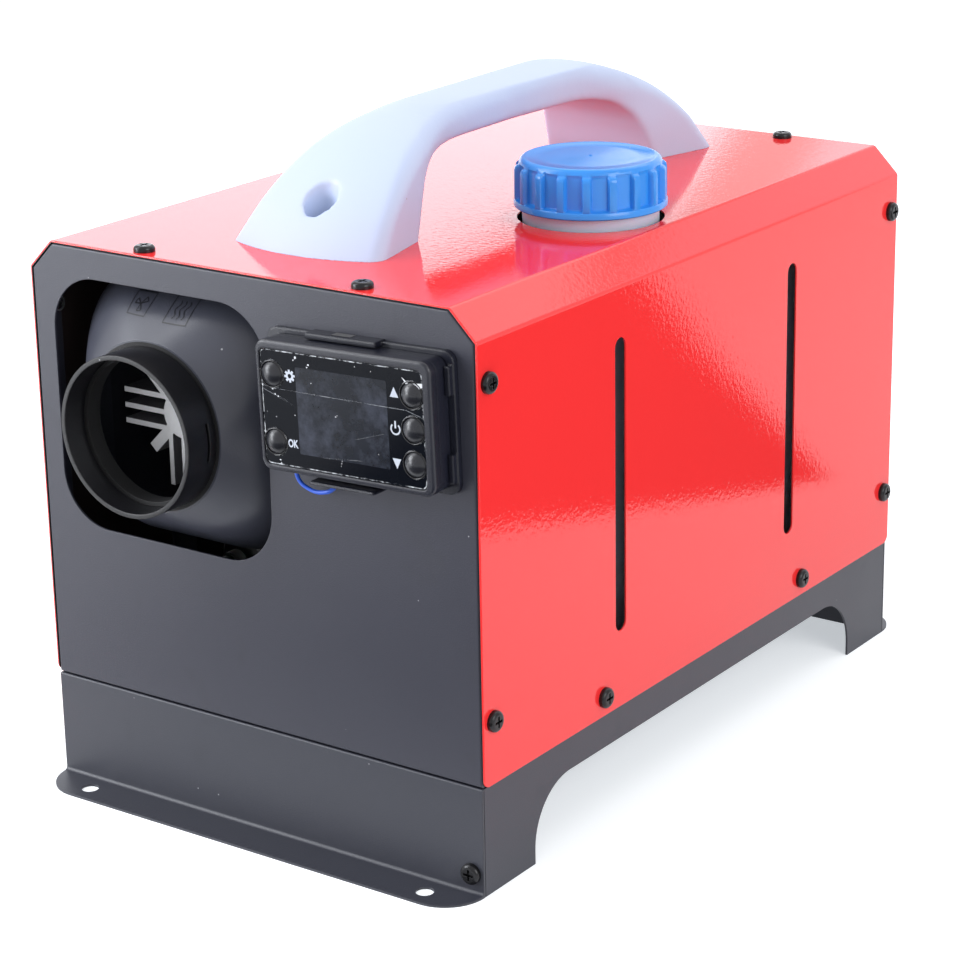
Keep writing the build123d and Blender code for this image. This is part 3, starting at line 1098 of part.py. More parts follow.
def combustion_impeller():
    """Radial impeller for the combustion air."""
    x, z = PORT_CENTRE_X, PORT_CENTRE_Z
    front = IMPELLER_BACK - IMPELLER_DISC
    body = rod("y", IMPELLER_RADIUS, (0, front, 0), IMPELLER_DISC)
    body += rod("y", IMPELLER_HUB, (0, front - IMPELLER_BLADE_DEPTH, 0), IMPELLER_BLADE_DEPTH)
    blade = block(IMPELLER_HUB - 1, IMPELLER_RADIUS - 1, front - IMPELLER_BLADE_DEPTH, front + 0.5,
                  -IMPELLER_BLADE / 2, IMPELLER_BLADE / 2)
    for step in range(IMPELLER_BLADES):
        body += Rot(0, step * 360 / IMPELLER_BLADES, 0) * blade
    body -= rod("y", SHAFT_RADIUS, (0, front - IMPELLER_BLADE_DEPTH - 1, 0),
                IMPELLER_BLADE_DEPTH + IMPELLER_DISC + 2)
    return Pos(x, 0, z) * body


def air_fan():
    """Axial fan that drives the room air over the heat exchanger."""
    hub = rod("y", FAN_HUB_RADIUS, (0, FAN_FRONT, 0), FAN_DEPTH)
    hub = fillet(hub.edges().sort_by(Axis.Y)[-1], 4.0)
    blade = Box(FAN_RADIUS - FAN_HUB_RADIUS + 4, FAN_BLADE_THICKNESS, FAN_BLADE_CHORD)
    reach = (FAN_RADIUS + FAN_HUB_RADIUS - 4) / 2
    body = hub
    for step in range(FAN_BLADES):
        set_blade = Pos(reach, FAN_FRONT + FAN_DEPTH / 2, 0) * Rot(FAN_PITCH_ANGLE, 0, 0) * blade
        body += Rot(0, step * 360 / FAN_BLADES, 0) * set_blade
    body &= rod("y", FAN_RADIUS, (0, FAN_FRONT - 5, 0), FAN_DEPTH + 10)
    body -= rod("y", SHAFT_RADIUS, (0, FAN_FRONT - 1, 0), FAN_DEPTH + 12)
    return Pos(PORT_CENTRE_X, 0, PORT_CENTRE_Z) * body


def control_board():
    """Heater control board with its relays, capacitors and connector."""
    x0 = PORT_CENTRE_X - BOARD_WIDTH / 2
    body = block(x0, x0 + BOARD_WIDTH, BOARD_FRONT, BOARD_FRONT + BOARD_DEPTH, BOARD_Z,
                 BOARD_Z + BOARD_THICKNESS)
    for x, y in RELAY_PLACES:
        body += board_part(x0 + x, BOARD_FRONT + y, RELAY)
    for x, y in CAPACITOR_PLACES:
        body += rod("z", CAPACITOR_RADIUS, (x0 + x, BOARD_FRONT + y, BOARD_Z - CAPACITOR_HEIGHT),
                    CAPACITOR_HEIGHT)
    return body + board_part(x0 + SOCKET_PLACE[0], BOARD_FRONT + SOCKET_PLACE[1], SOCKET)


def board_part(x, y, size):
    """Box shaped component under the control board, from its left front corner."""
    return block(x, x + size[0], y, y + size[1], BOARD_Z - size[2], BOARD_Z)


def heater_gasket():
    """Flat gasket between the casing and the stand."""
    plate = block(PORT_CENTRE_X - GASKET_HALF_WIDTH, PORT_CENTRE_X + GASKET_HALF_WIDTH,
                  EXHAUST_Y - GASKET_MARGIN, INTAKE_Y + GASKET_MARGIN, STAND_TOP, HEATER_BOTTOM)
    plate = fillet(plate.edges().filter_by(Axis.Z), GASKET_CORNER)
    return plate - pipe_holes(STAND_TOP - 1, HEATER_BOTTOM + 1, PIPE_HOLE_CLEARANCE)


def heater_stand():
    """Bent sheet bridge that carries the heater above the tray."""
    half = HEATER_WIDTH / 2 + STAND_OVERHANG
    y = STAND_HALF_DEPTH
    left, right = PORT_CENTRE_X - half, PORT_CENTRE_X + half
    body = block(left, right, -y, y, TRAY_TOP, STAND_TOP)
    body -= block(left + STAND_SHEET, right - STAND_SHEET, -y - 1, y + 1, TRAY_TOP - 1, STAND_TOP - STAND_SHEET)
    body += block(left - STAND_FOOT, left + 0.5, -y, y, TRAY_TOP, TRAY_TOP + STAND_SHEET)
    body += block(right - STAND_FOOT, right - 0.5, -y, y, TRAY_TOP, TRAY_TOP + STAND_SHEET)
    middle = (TRAY_TOP + STAND_TOP) / 2
    reach = y - STAND_WINDOW_MARGIN
    window = block(left - 1, right + 1, -reach, reach, middle - STAND_LEG_WINDOW / 2,
                   middle + STAND_LEG_WINDOW / 2)
    window = fillet(window.edges().filter_by(Axis.X), STAND_WINDOW_CORNER)
    return body - window - pipe_holes(STAND_TOP - STAND_SHEET - 1, STAND_TOP + 1, PIPE_HOLE_CLEARANCE)


def pipe(radius, y):
    """Straight pipe from the heater down through the tray, with a wider stub for the hose."""
    at = (PORT_CENTRE_X, y, PIPE_BOTTOM)
    body = rod("z", radius, at, PIPE_TOP - PIPE_BOTTOM) + rod("z", radius + STUB_SWELL, at, STUB_LENGTH)
    return body - rod("z", radius - PIPE_WALL, (PORT_CENTRE_X, y, PIPE_BOTTOM - 1),
                      PIPE_TOP - PIPE_BOTTOM + 2)


def pipe_grommets():
    """Two flanged rings where the pipes pass the tray's floor."""
    rings = []
    for radius, y in ((EXHAUST_RADIUS, EXHAUST_Y), (INTAKE_RADIUS, INTAKE_Y)):
        z0 = TRAY_TOP - SHEET - GROMMET_LIP
        ring = rod("z", radius + GROMMET_WALL, (PORT_CENTRE_X, y, z0), 2 * GROMMET_LIP + SHEET)
        for z in (z0, TRAY_TOP):
            ring += rod("z", radius + GROMMET_WALL + GROMMET_BRIM, (PORT_CENTRE_X, y, z), GROMMET_LIP)
        rings.append(ring - rod("z", radius + PIPE_FIT, (PORT_CENTRE_X, y, z0 - 1), 4 * GROMMET_LIP))
    return compound(*rings)


# ---- controller -------------------------------------------------------------------------------
CONTROLLER_FACE = -PANEL_FACE - CONTROLLER_FRONT_ABOVE
CONTROLLER_BACK = CONTROLLER_FACE + CONTROLLER_DEPTH
LENS_FACE = CONTROLLER_FACE + LENS_RECESS
LEAD_EXIT_Y = CONTROLLER_BACK - LEAD_EXIT_DEPTH
WEB_FRONT = LENS_FACE + LENS_THICKNESS
WEB_BACK = WEB_FRONT + BEZEL_WEB
BEZEL_BACK = CONTROLLER_FACE + BEZEL_DEPTH
LCD_BACK = WEB_BACK + LENS_GAP + LCD_DEPTH
PCB_FRONT = LCD_BACK + LENS_GAP
PCB_BACK = PCB_FRONT + PCB_THICKNESS
BUTTONS = {"button_settings": (BUTTON_LEFT_X, BUTTON_ROWS[0]), "button_ok": (BUTTON_LEFT_X, BUTTON_ROWS[2]),
           "button_up": (BUTTON_RIGHT_X, BUTTON_ROWS[0]), "button_power": (BUTTON_RIGHT_X, BUTTON_ROWS[1]),
           "button_down": (BUTTON_RIGHT_X, BUTTON_ROWS[2])}


def on_controller(solid):
    """Moves a piece built about the controller's centre to its place on the panel."""
    return Pos(CONTROLLER_X, 0, CONTROLLER_Z) * Rot(0, -CONTROLLER_TILT, 0) * solid


def button_holes(radius, y0, y1):
    """Round holes for the five buttons."""
    return [rod("y", radius, (x, y0, z), y1 - y0) for x, z in BUTTONS.values()]


def controller_bezel():
    """Front frame with the web that the lens is glued to."""
    body = rounded_slab_y(0, 0, CONTROLLER_WIDTH, CONTROLLER_HEIGHT, CONTROLLER_CORNER, CONTROLLER_FACE,
                          BEZEL_BACK)
    body = fillet(body.faces().sort_by(Axis.Y)[0].edges(), BEZEL_EDGE)
    body -= rounded_slab_y(LENS_SHIFT_X, LENS_SHIFT_Z, LENS_WIDTH + 2 * LENS_GAP, LENS_HEIGHT + 2 * LENS_GAP,
                           LENS_CORNER, CONTROLLER_FACE - 1, WEB_FRONT)
    body -= rounded_slab_y(0, 0, CONTROLLER_WIDTH - 2 * BEZEL_WALL, CONTROLLER_HEIGHT - 2 * BEZEL_WALL,
                           LENS_CORNER, WEB_BACK, BEZEL_BACK + 1)
    body -= button_holes(BUTTON_RADIUS + BUTTON_CLEARANCE, WEB_FRONT - 1, WEB_BACK + 1)
    window = rounded_slab_y(LENS_SHIFT_X, LENS_SHIFT_Z, LCD_WINDOW_WIDTH, LCD_WINDOW_HEIGHT, 1.0,
                            WEB_FRONT - 1, WEB_BACK + 1)
    return on_controller(body - window)


def controller_lens():
    """Clear glossy face sheet with its five button holes."""
    body = rounded_slab_y(LENS_SHIFT_X, LENS_SHIFT_Z, LENS_WIDTH, LENS_HEIGHT, LENS_CORNER, LENS_FACE,
                          WEB_FRONT)
    return on_controller(body - button_holes(BUTTON_RADIUS + BUTTON_CLEARANCE, LENS_FACE - 1, WEB_FRONT + 1))


def controller_shell():
    """Rear shell of the controller with the lead's exit at the bottom and four board posts."""
    width, height = CONTROLLER_WIDTH - SHELL_INSET, CONTROLLER_HEIGHT - SHELL_INSET
    body = rounded_slab_y(0, 0, width, height, CONTROLLER_CORNER, BEZEL_BACK, CONTROLLER_BACK)
    body -= rounded_slab_y(0, 0, width - 2 * SHELL_WALL, height - 2 * SHELL_WALL,
                           CONTROLLER_CORNER - SHELL_WALL, BEZEL_BACK - 1, CONTROLLER_BACK - SHELL_WALL)
    for x in (-SHELL_POST_X, SHELL_POST_X):
        for z in (-SHELL_POST_Z, SHELL_POST_Z):
            body += rod("y", SHELL_POST_RADIUS, (x, PCB_BACK, z), CONTROLLER_BACK - SHELL_WALL / 2 - PCB_BACK)
    lead_hole = rod("z", LEAD_RADIUS + SCREW_CLEARANCE, (LEAD_EXIT_X, LEAD_EXIT_Y, LEAD_START_Z - LEAD_DROP),
                    LEAD_DROP)
    return on_controller(body) - lead_hole


def lcd_module():
    """Display glass and backlight behind the window."""
    front = WEB_BACK + LENS_GAP
    glass = block(-LCD_WIDTH / 2, LCD_WIDTH / 2, front, LCD_BACK, -LCD_HEIGHT / 2, LCD_HEIGHT / 2)
    return on_controller(Pos(LENS_SHIFT_X, 0, LENS_SHIFT_Z) * glass)


def controller_board():
    """Controller circuit board with a switch behind each button."""
    half_w = CONTROLLER_WIDTH / 2 - SHELL_WALL - SHELL_INSET - PCB_MARGIN
    half_h = CONTROLLER_HEIGHT / 2 - SHELL_WALL - SHELL_INSET - PCB_MARGIN
    body = block(-half_w, half_w, PCB_FRONT, PCB_BACK, -half_h, half_h)
    for x, z in BUTTONS.values():
        body += block(x - SWITCH_SIZE / 2, x + SWITCH_SIZE / 2, PCB_FRONT - SWITCH_HEIGHT, PCB_FRONT,
                      z - SWITCH_SIZE / 2, z + SWITCH_SIZE / 2)
    return on_controller(body)


def button(x, z):
    """Domed push button with a retaining flange and a stem towards its switch."""
    dome_radius = (BUTTON_RADIUS ** 2 + BUTTON_DOME ** 2) / (2 * BUTTON_DOME)
    neck = rod("y", BUTTON_RADIUS, (x, LENS_FACE, z), WEB_BACK + BUTTON_GAP - LENS_FACE)
    ball = Pos(x, LENS_FACE - BUTTON_DOME + dome_radius, z) * Sphere(dome_radius)
    dome = ball & rod("y", BUTTON_RADIUS, (x, LENS_FACE - BUTTON_DOME - 1, z), BUTTON_DOME + 1)
    flange = rod("y", BUTTON_FLANGE_RADIUS, (x, WEB_BACK + BUTTON_GAP, z), BUTTON_FLANGE)
    stem_front = WEB_BACK + BUTTON_GAP
    stem_back = PCB_FRONT - SWITCH_HEIGHT - BUTTON_TRAVEL - STEM_GAP
    stem = rod("y", BUTTON_STEM_RADIUS, (x, stem_front, z), stem_back - stem_front)
    return on_controller(neck + dome + flange + stem)


def controller_bracket():
    """Moulded snap bracket between the panel and the controller."""
    face = -PANEL_FACE
    body = rounded_slab_y(0, 0, BRACKET_WIDTH, BRACKET_HEIGHT, CONTROLLER_CORNER, face - BRACKET_SHEET, face)
    half_w, half_h = CONTROLLER_WIDTH / 2 + BRACKET_GAP, CONTROLLER_HEIGHT / 2 + BRACKET_GAP
    rim = rounded_slab_y(0, 0, BRACKET_WIDTH, BRACKET_HEIGHT, CONTROLLER_CORNER,
                         CONTROLLER_BACK + BRACKET_GAP, face)
    body += rim - rounded_slab_y(0, 0, BRACKET_WIDTH - 2 * BRACKET_RIM, BRACKET_HEIGHT - 2 * BRACKET_RIM,
                                 CONTROLLER_CORNER - BRACKET_RIM, CONTROLLER_BACK, face + 1)
    tip = CONTROLLER_BACK - BRACKET_GRIP
    for side, (centre, span) in ((1, BRACKET_TOP_LIP), (-1, BRACKET_BOTTOM_LIP)):
        body += block(centre - span / 2, centre + span / 2, tip, face, side * half_h,
                      side * (half_h + BRACKET_LIP))
    hook = tip + BRACKET_HOOK_SHORT
    for side in (-1, 1):
        for z0 in (BRACKET_HOOK_INSET - half_h, half_h - BRACKET_HOOK_INSET - BRACKET_SIDE_HOOK):
            body += block(side * half_w, side * (half_w + BRACKET_LIP), hook, face, z0,
                          z0 + BRACKET_SIDE_HOOK)
    for x in (-BRACKET_SCREW_X, BRACKET_SCREW_X):
        body -= rod("y", BRACKET_SCREW_RADIUS + SCREW_CLEARANCE, (x, face - BRACKET_SHEET - 1, 0),
                    BRACKET_SHEET + 2)
    return on_controller(body)


def bracket_screws():
    """Two screws that fix the bracket to the front panel."""
    screws = []
    for x in (-BRACKET_SCREW_X, BRACKET_SCREW_X):
        y = -PANEL_FACE - BRACKET_SHEET
        head = rod("y", BRACKET_HEAD_RADIUS, (x, y - BRACKET_HEAD_HEIGHT, 0), BRACKET_HEAD_HEIGHT)
        screws.append(on_controller(head + rod("y", BRACKET_SCREW_RADIUS, (x, y, 0), BRACKET_SCREW_LENGTH)))
    return compound(*screws)


def controller_lead():
    """Blue lead: from under the controller through the panel and back to the heater's casing."""
    gap_x = (PORT_CENTRE_X + HEATER_WIDTH / 2 + TANK_LEFT) / 2
    loop = [(LEAD_EXIT_X + x, LEAD_EXIT_Y + y, LEAD_HOLE_Z + z) for x, y, z in LEAD_LOOP]
    run = [(gap_x + x, y - PANEL_FACE, LEAD_HOLE_Z + z) for x, y, z in LEAD_RUN]
    through = [(LEAD_HOLE_X, LEAD_EXIT_Y + LEAD_TURN, LEAD_HOLE_Z),
               (LEAD_HOLE_X, LEAD_INSIDE - PANEL_FACE, LEAD_HOLE_Z)]
    end = (PORT_CENTRE_X + HEATER_WIDTH / 2, run[-1][1], run[-1][2])
    return lead_tube([(LEAD_EXIT_X, LEAD_EXIT_Y, LEAD_START_Z)] + loop + through + run + [end])


def lead_tube(points):
    """Round cord along straight runs joined by the largest tangent arcs that fit."""
    vectors = [Vector(*p) for p in points]
    radii = []
    for before, corner, after in zip(vectors, vectors[1:], vectors[2:]):
        first, second = corner - before, after - corner
        turn = radians(first.get_angle(second))
        radii.append(0.45 * min(first.length, second.length) / tan(turn / 2))
    print("controller lead radii:", [round(r, 1) for r in radii])
    path = FilletPolyline(*points, radius=radii)
    print("controller lead length:", round(path.length, 1), "mm")
    return sweep(Plane(origin=path @ 0, z_dir=path % 0) * Circle(LEAD_RADIUS), path=path)


def power_gland():
    """Cable gland with its inner nut for the power lead."""
    inner = PANEL_FACE - SHEET - GLAND_INSIDE
    length = GLAND_INSIDE + SHEET + GLAND_OUTSIDE
    body = rod("y", GLAND_RADIUS, (GLAND_X, inner, GLAND_Z), length)
    hexagon = TURN["y"] * extrude(RegularPolygon(GLAND_HEX_RADIUS, 6), amount=GLAND_HEX)
    nut = TURN["y"] * extrude(RegularPolygon(GLAND_HEX_RADIUS, 6), amount=GLAND_NUT)
    body += Pos(GLAND_X, PANEL_FACE, GLAND_Z) * hexagon
    body = fillet(body.edges().sort_by(Axis.Y)[-1], GLAND_EDGE)
    body += Pos(GLAND_X, PANEL_FACE - SHEET - GLAND_NUT, GLAND_Z) * nut
    return body - rod("y", GLAND_BORE, (GLAND_X, inner - 1, GLAND_Z), length + 2)


NODES = {
    "cover": cover, "front_panel": front_panel, "rear_panel": rear_panel, "base_tray": base_tray,
    "front_foot": foot_plate, "rear_foot": lambda: mirrored_y(foot_plate()), "case_screws": case_screws,
    "rivet_nuts": rivet_nuts, "handle": handle, "handle_screws": handle_screws,
    "handle_nuts": handle_nuts, "fuel_tank": fuel_tank, "fuel_cap": fuel_cap, "cap_seal": cap_seal,
    "tank_straps": tank_straps, "tank_outlet": tank_outlet, "fuel_filter": fuel_filter, "hose_tank": hose_tank,
    "hose_pump": hose_pump, "hose_heater": hose_heater, "hose_clips": hose_clips, "fuel_pump": fuel_pump,
    "pump_plunger": pump_plunger, "pump_spring": pump_spring, "pump_cradle": pump_cradle,
    "outlet_collar": outlet_collar, "outlet_hood": outlet_hood, "inlet_hood": inlet_hood,
    "inlet_guard": inlet_guard, "heater_case_lower": heater_case_lower, "heater_case_upper": heater_case_upper,
    "heat_exchanger": heat_exchanger, "burner_tube": burner_tube, "glow_plug": glow_plug,
    "overheat_sensor": overheat_sensor, "blower_housing": blower_housing, "fan_motor": fan_motor,
    "motor_shaft": motor_shaft, "combustion_impeller": combustion_impeller, "air_fan": air_fan,
    "control_board": control_board, "heater_gasket": heater_gasket, "heater_stand": heater_stand,
    "exhaust_pipe": lambda: pipe(EXHAUST_RADIUS, EXHAUST_Y), "intake_pipe": lambda: pipe(INTAKE_RADIUS, INTAKE_Y),
    "pipe_grommets": pipe_grommets, "controller_bracket": controller_bracket, "bracket_screws": bracket_screws,
    "controller_shell": controller_shell, "controller_board": controller_board, "lcd_module": lcd_module,
    "controller_bezel": controller_bezel, "controller_lens": controller_lens, "controller_lead": controller_lead,
    "power_gland": power_gland,
}

os.makedirs("parts", exist_ok=True)
for name, build in NODES.items():
    export_step(build(), f"parts/{name}.step")
for name, (x, z) in BUTTONS.items():
    export_step(button(x, z), f"parts/{name}.step")
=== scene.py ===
"""Looks of the portable diesel air heater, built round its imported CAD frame.

Metres, in the frame of the CAD: X to the right seen from the front, Y to the back, Z up.
"""
import bpy
import bmesh
from math import ceil, cos, hypot, pi, radians, sin
from mathutils import Matrix, Vector
from mathutils.bvhtree import BVHTree


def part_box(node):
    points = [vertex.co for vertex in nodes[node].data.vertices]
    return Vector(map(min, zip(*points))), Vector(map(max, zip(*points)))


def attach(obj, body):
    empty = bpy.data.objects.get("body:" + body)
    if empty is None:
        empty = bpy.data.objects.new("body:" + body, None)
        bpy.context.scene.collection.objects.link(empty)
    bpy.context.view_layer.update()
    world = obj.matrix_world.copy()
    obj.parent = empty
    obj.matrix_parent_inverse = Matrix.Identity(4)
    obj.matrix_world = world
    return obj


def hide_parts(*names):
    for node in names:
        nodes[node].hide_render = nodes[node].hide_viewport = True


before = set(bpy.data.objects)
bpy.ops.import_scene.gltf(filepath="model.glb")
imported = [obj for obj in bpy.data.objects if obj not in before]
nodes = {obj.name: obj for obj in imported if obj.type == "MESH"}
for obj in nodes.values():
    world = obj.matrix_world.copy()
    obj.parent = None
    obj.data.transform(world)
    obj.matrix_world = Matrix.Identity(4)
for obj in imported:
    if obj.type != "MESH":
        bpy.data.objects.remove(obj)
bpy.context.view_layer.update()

# ---- camera, floor and lamps --------------------------------------------------------------------
# A white studio sweep with large soft lamps. Bright walls at the back are what the glossy top mirrors,
# and dark patches of floor beside and before the object are what its glossy sides mirror.


def placed(name, data):
    """New object in the scene, at the origin as the CAD's nodes are."""
    made = bpy.data.objects.new(name, data)
    bpy.context.scene.collection.objects.link(made)
    return made


camera = placed("camera", bpy.data.cameras.new("camera"))
camera.data.sensor_width = 36.0
camera.data.lens = 106.62
camera.data.shift_x = -0.0307
camera.data.shift_y = -0.0227
camera.data.clip_end = 20.0
camera_place = (0.74272, -1.05105, 0.54644)
camera_right = Vector((0.82245, 0.56865, -0.01466))
camera_up = Vector((-0.16567, 0.26411, 0.95016))
camera_back = Vector((0.54418, -0.77903, 0.31142))
camera_turn = Matrix((camera_right, camera_up, camera_back)).transposed()
camera.matrix_world = Matrix.Translation(camera_place) @ camera_turn.to_4x4()
bpy.context.scene.camera = camera
bpy.context.scene.view_settings.view_transform = "Standard"


def lamp(name, place, aim, width, height, power, tint=(1.0, 1.0, 1.0)):
    """Rectangular soft lamp that looks at a point."""
    light = bpy.data.lights.new(name, "AREA")
    light.shape = "RECTANGLE"
    light.size, light.size_y = width, height
    light.energy = power
    light.color = tint
    made = placed(name, light)
    made.location = place
    made.rotation_euler = (Vector(aim) - Vector(place)).to_track_quat("-Z", "Y").to_euler()


cool = (0.92, 0.95, 1.0)
lamp("lamp_top", (-0.1, 0.9, 1.7), (0, 0, 0.15), 2.2, 1.4, 12, (1.0, 0.98, 1.0))
lamp("lamp_over", (-0.85, -0.65, 1.35), (-0.06, -0.12, 0.22), 0.7, 0.7, 5.5, (0.94, 0.96, 1.0))
lamp("lamp_right", (1.9, -0.5, 1.1), (0.05, 0, 0.15), 1.2, 1.2, 19)
lamp("lamp_left", (-1.25, -1.0, 0.80), (-0.08, -0.15, 0.17), 0.8, 0.7, 18, cool)
lamp("lamp_low", (-0.95, -1.15, 0.26), (-0.10, -0.18, 0.14), 0.5, 0.36, 6.0, cool)


def put(tree, kind, inputs=(), **settings):
    """Adds a node, sets its properties, and sets or links its inputs given as (key, value or socket)."""
    made = tree.nodes.new(kind)
    for key, value in settings.items():
        setattr(made, key, value)
    for key, value in inputs:
        if isinstance(value, bpy.types.NodeSocket):
            tree.links.new(value, made.inputs[key])
        else:
            made.inputs[key].default_value = value
    return made


def background_level(tree, low, high, strength):
    """Sets a strength high for camera, mirror and glass rays, and low for the rays that light."""
    rays = put(tree, "ShaderNodeLightPath")
    seen = rays.outputs["Is Camera Ray"]
    for kind in ("Is Glossy Ray", "Is Transmission Ray"):
        either = put(tree, "ShaderNodeMath", [(0, seen), (1, rays.outputs[kind])], operation="MAXIMUM")
        seen = either.outputs[0]
    level = put(tree, "ShaderNodeMapRange", [("Value", seen), ("To Min", low), ("To Max", high)])
    tree.links.new(level.outputs["Result"], strength)


world = bpy.data.worlds.new("studio")
bpy.context.scene.world = world
world.use_nodes = True
sky = world.node_tree.nodes["Background"]
sky.inputs["Color"].default_value = (1, 1, 1, 1)
background_level(world.node_tree, 0.60, 1.0, sky.inputs["Strength"])


def shader_of(material):
    """The shader node of a material."""
    return material.node_tree.nodes["Principled BSDF"]


def backdrop(name, corners, colour, glow=0.0):
    """Flat stage surface of one colour."""
    mesh = bpy.data.meshes.new(name)
    mesh.from_pydata(corners, [], [tuple(range(len(corners)))])
    made = placed(name, mesh)
    finish = bpy.data.materials.new(name)
    finish.use_nodes = True
    shader = shader_of(finish)
    shader.inputs["Base Color"].default_value = (*colour, 1)
    shader.inputs["Roughness"].default_value = 0.6
    shader.inputs["Emission Color"].default_value = (0.90, 0.93, 1.0, 1)
    shader.inputs["Emission Strength"].default_value = glow
    mesh.materials.append(finish)
    return made


def mirrored(name, corners, glow=0.0):
    """Black stage surface with its own glow, seen only in the gloss of the object."""
    made = backdrop(name, corners, (0, 0, 0), glow)
    made.visible_camera = False
    made.visible_diffuse = False
    made.visible_shadow = False
    made.visible_transmission = False


floor_half = 6
floor = backdrop("floor", [(-floor_half, -floor_half, 0), (floor_half, -floor_half, 0),
                           (floor_half, floor_half, 0), (-floor_half, floor_half, 0)], (0.80, 0.80, 0.80))
floor_finish = floor.data.materials[0]
floor_shader = shader_of(floor_finish)
floor_shader.inputs["Specular IOR Level"].default_value = 0
floor_shader.inputs["Emission Color"].default_value = (0.90, 0.95, 1, 1)
background_level(floor_finish.node_tree, 0.0, 0.55, floor_shader.inputs["Emission Strength"])

wall_back = 1.5
behind, before = 0.02, -0.01     # the walls' steps in depth, so that none lies in another
bright_outline = [(-0.35, 0), (-0.768, 0.596), (-0.821, 0.671), (-1.021, 0.724), (-1.147, 0.789),
                  (-1.60, 1.02), (-3.2, 1.8), (-3.2, 0)]
mirrored("bright_wall", [(x, wall_back, z) for x, z in bright_outline], 2.4)
side_outline = [(0.9, 0), (0.9, 1.3), (-0.821, 0.9), (-0.35, 0)]
mirrored("side_wall", [(x, wall_back + behind, z) for x, z in side_outline], 1.6)
gap_outline = [(-1.30, 0.867), (-1.147, 0.789), (-1.021, 0.724), (-0.93, 0.70), (-0.93, 1.1), (-1.30, 1.1)]
mirrored("dark_gap", [(x, wall_back + before, z) for x, z in gap_outline])

patch_height = 0.0015
strip_outline = [
    (0.400, 0.150), (0.384, 0.194), (0.341, 0.256), (0.311, 0.300), (0.281, 0.345), (0.263, 0.380),
    (0.320, 0.437), (0.396, 0.512), (0.466, 0.579), (0.540, 0.660), (0.640, 0.760), (0.950, 0.950),
    (1.3, 0.5), (0.9, 0.1)]
for name, side in (("dark_strip_left", -1), ("dark_strip_right", 1)):
    mirrored(name, [(side * x, y, patch_height) for x, y in strip_outline])
front_outline = [(-0.20, -0.28), (-0.38, -1.0), (0.6, -1.0), (0.6, -0.28)]
mirrored("dark_front", [(x, y, patch_height) for x, y in front_outline])

# ---- base tray, feet and panels -----------------------------------------------------------------
# Folded steel sheet with a dark satin powder coat. The front foot and the front panel are separate
# pressings screwed to the tray, with finger smudges and a few pale specks of dust.


def node_group(name, inputs, outputs):
    """New shader node group: inputs are name, kind and value, outputs are name and kind."""
    made = bpy.data.node_groups.new(name, "ShaderNodeTree")
    for label, kind, value in inputs:
        made.interface.new_socket(name=label, in_out="INPUT", socket_type=kind).default_value = value
    for label, kind in outputs:
        made.interface.new_socket(name=label, in_out="OUTPUT", socket_type=kind)
    return made, made.nodes.new("NodeGroupInput"), made.nodes.new("NodeGroupOutput")


def own_place(tree):
    """Every point's place on the object, in metres."""
    return put(tree, "ShaderNodeTexCoord").outputs["Object"]


def noise(tree, place, scale, detail=2.0, rough=0.5):
    """Grey of a noise texture at a scale, on the given coordinates."""
    return put(tree, "ShaderNodeTexNoise", [("Vector", place), ("Scale", scale), ("Detail", detail),
                                            ("Roughness", rough)]).outputs["Fac"]


def calc(tree, operation, *values, clamp=False):
    """One arithmetic step on numbers or sockets."""
    return put(tree, "ShaderNodeMath", enumerate(values), operation=operation, use_clamp=clamp).outputs[0]


def ramp(tree, value, low, high):
    """Runs from 0 at low to 1 at high."""
    made = put(tree, "ShaderNodeMapRange", [("Value", value), ("From Min", low), ("From Max", high)])
    return made.outputs[0]


def blend_colour(tree, share, a, b):
    """Mixes two colours."""
    return put(tree, "ShaderNodeMix", [(0, share), (6, a), (7, b)], data_type="RGBA").outputs[2]


# Surface skin: cloudy tone and gloss over the whole piece, and a fine grain for relief.
noise_middle = 0.5
skin, entry, leave = node_group(
    "surface skin",
    [("Colour", "NodeSocketColor", (0.5, 0.5, 0.5, 1)), ("Cloud", "NodeSocketFloat", 0.1),
     ("Cloud Scale", "NodeSocketFloat", 9.0), ("Gloss", "NodeSocketFloat", 0.4),
     ("Gloss Spread", "NodeSocketFloat", 0.1), ("Grain Scale", "NodeSocketFloat", 900.0)],
    [("Colour", "NodeSocketColor"), ("Roughness", "NodeSocketFloat"), ("Height", "NodeSocketFloat")])
place = own_place(skin)
cloud = noise(skin, place, entry.outputs["Cloud Scale"], 4.0, 0.6)
shade = calc(skin, "MULTIPLY_ADD", calc(skin, "SUBTRACT", cloud, noise_middle), entry.outputs["Cloud"], 1.0)
tone = put(skin, "ShaderNodeVectorMath", [(0, entry.outputs["Colour"]), ("Scale", shade)], operation="SCALE")
grain = noise(skin, place, entry.outputs["Grain Scale"])
smudge = noise(skin, place, 26.0, 5.0, 0.65)
drift = calc(skin, "MULTIPLY", calc(skin, "SUBTRACT", smudge, noise_middle), entry.outputs["Gloss Spread"])
gloss = calc(skin, "ADD", entry.outputs["Gloss"], drift, clamp=True)
skin.links.new(tone.outputs[0], leave.inputs["Colour"])
skin.links.new(gloss, leave.inputs["Roughness"])
skin.links.new(grain, leave.inputs["Height"])

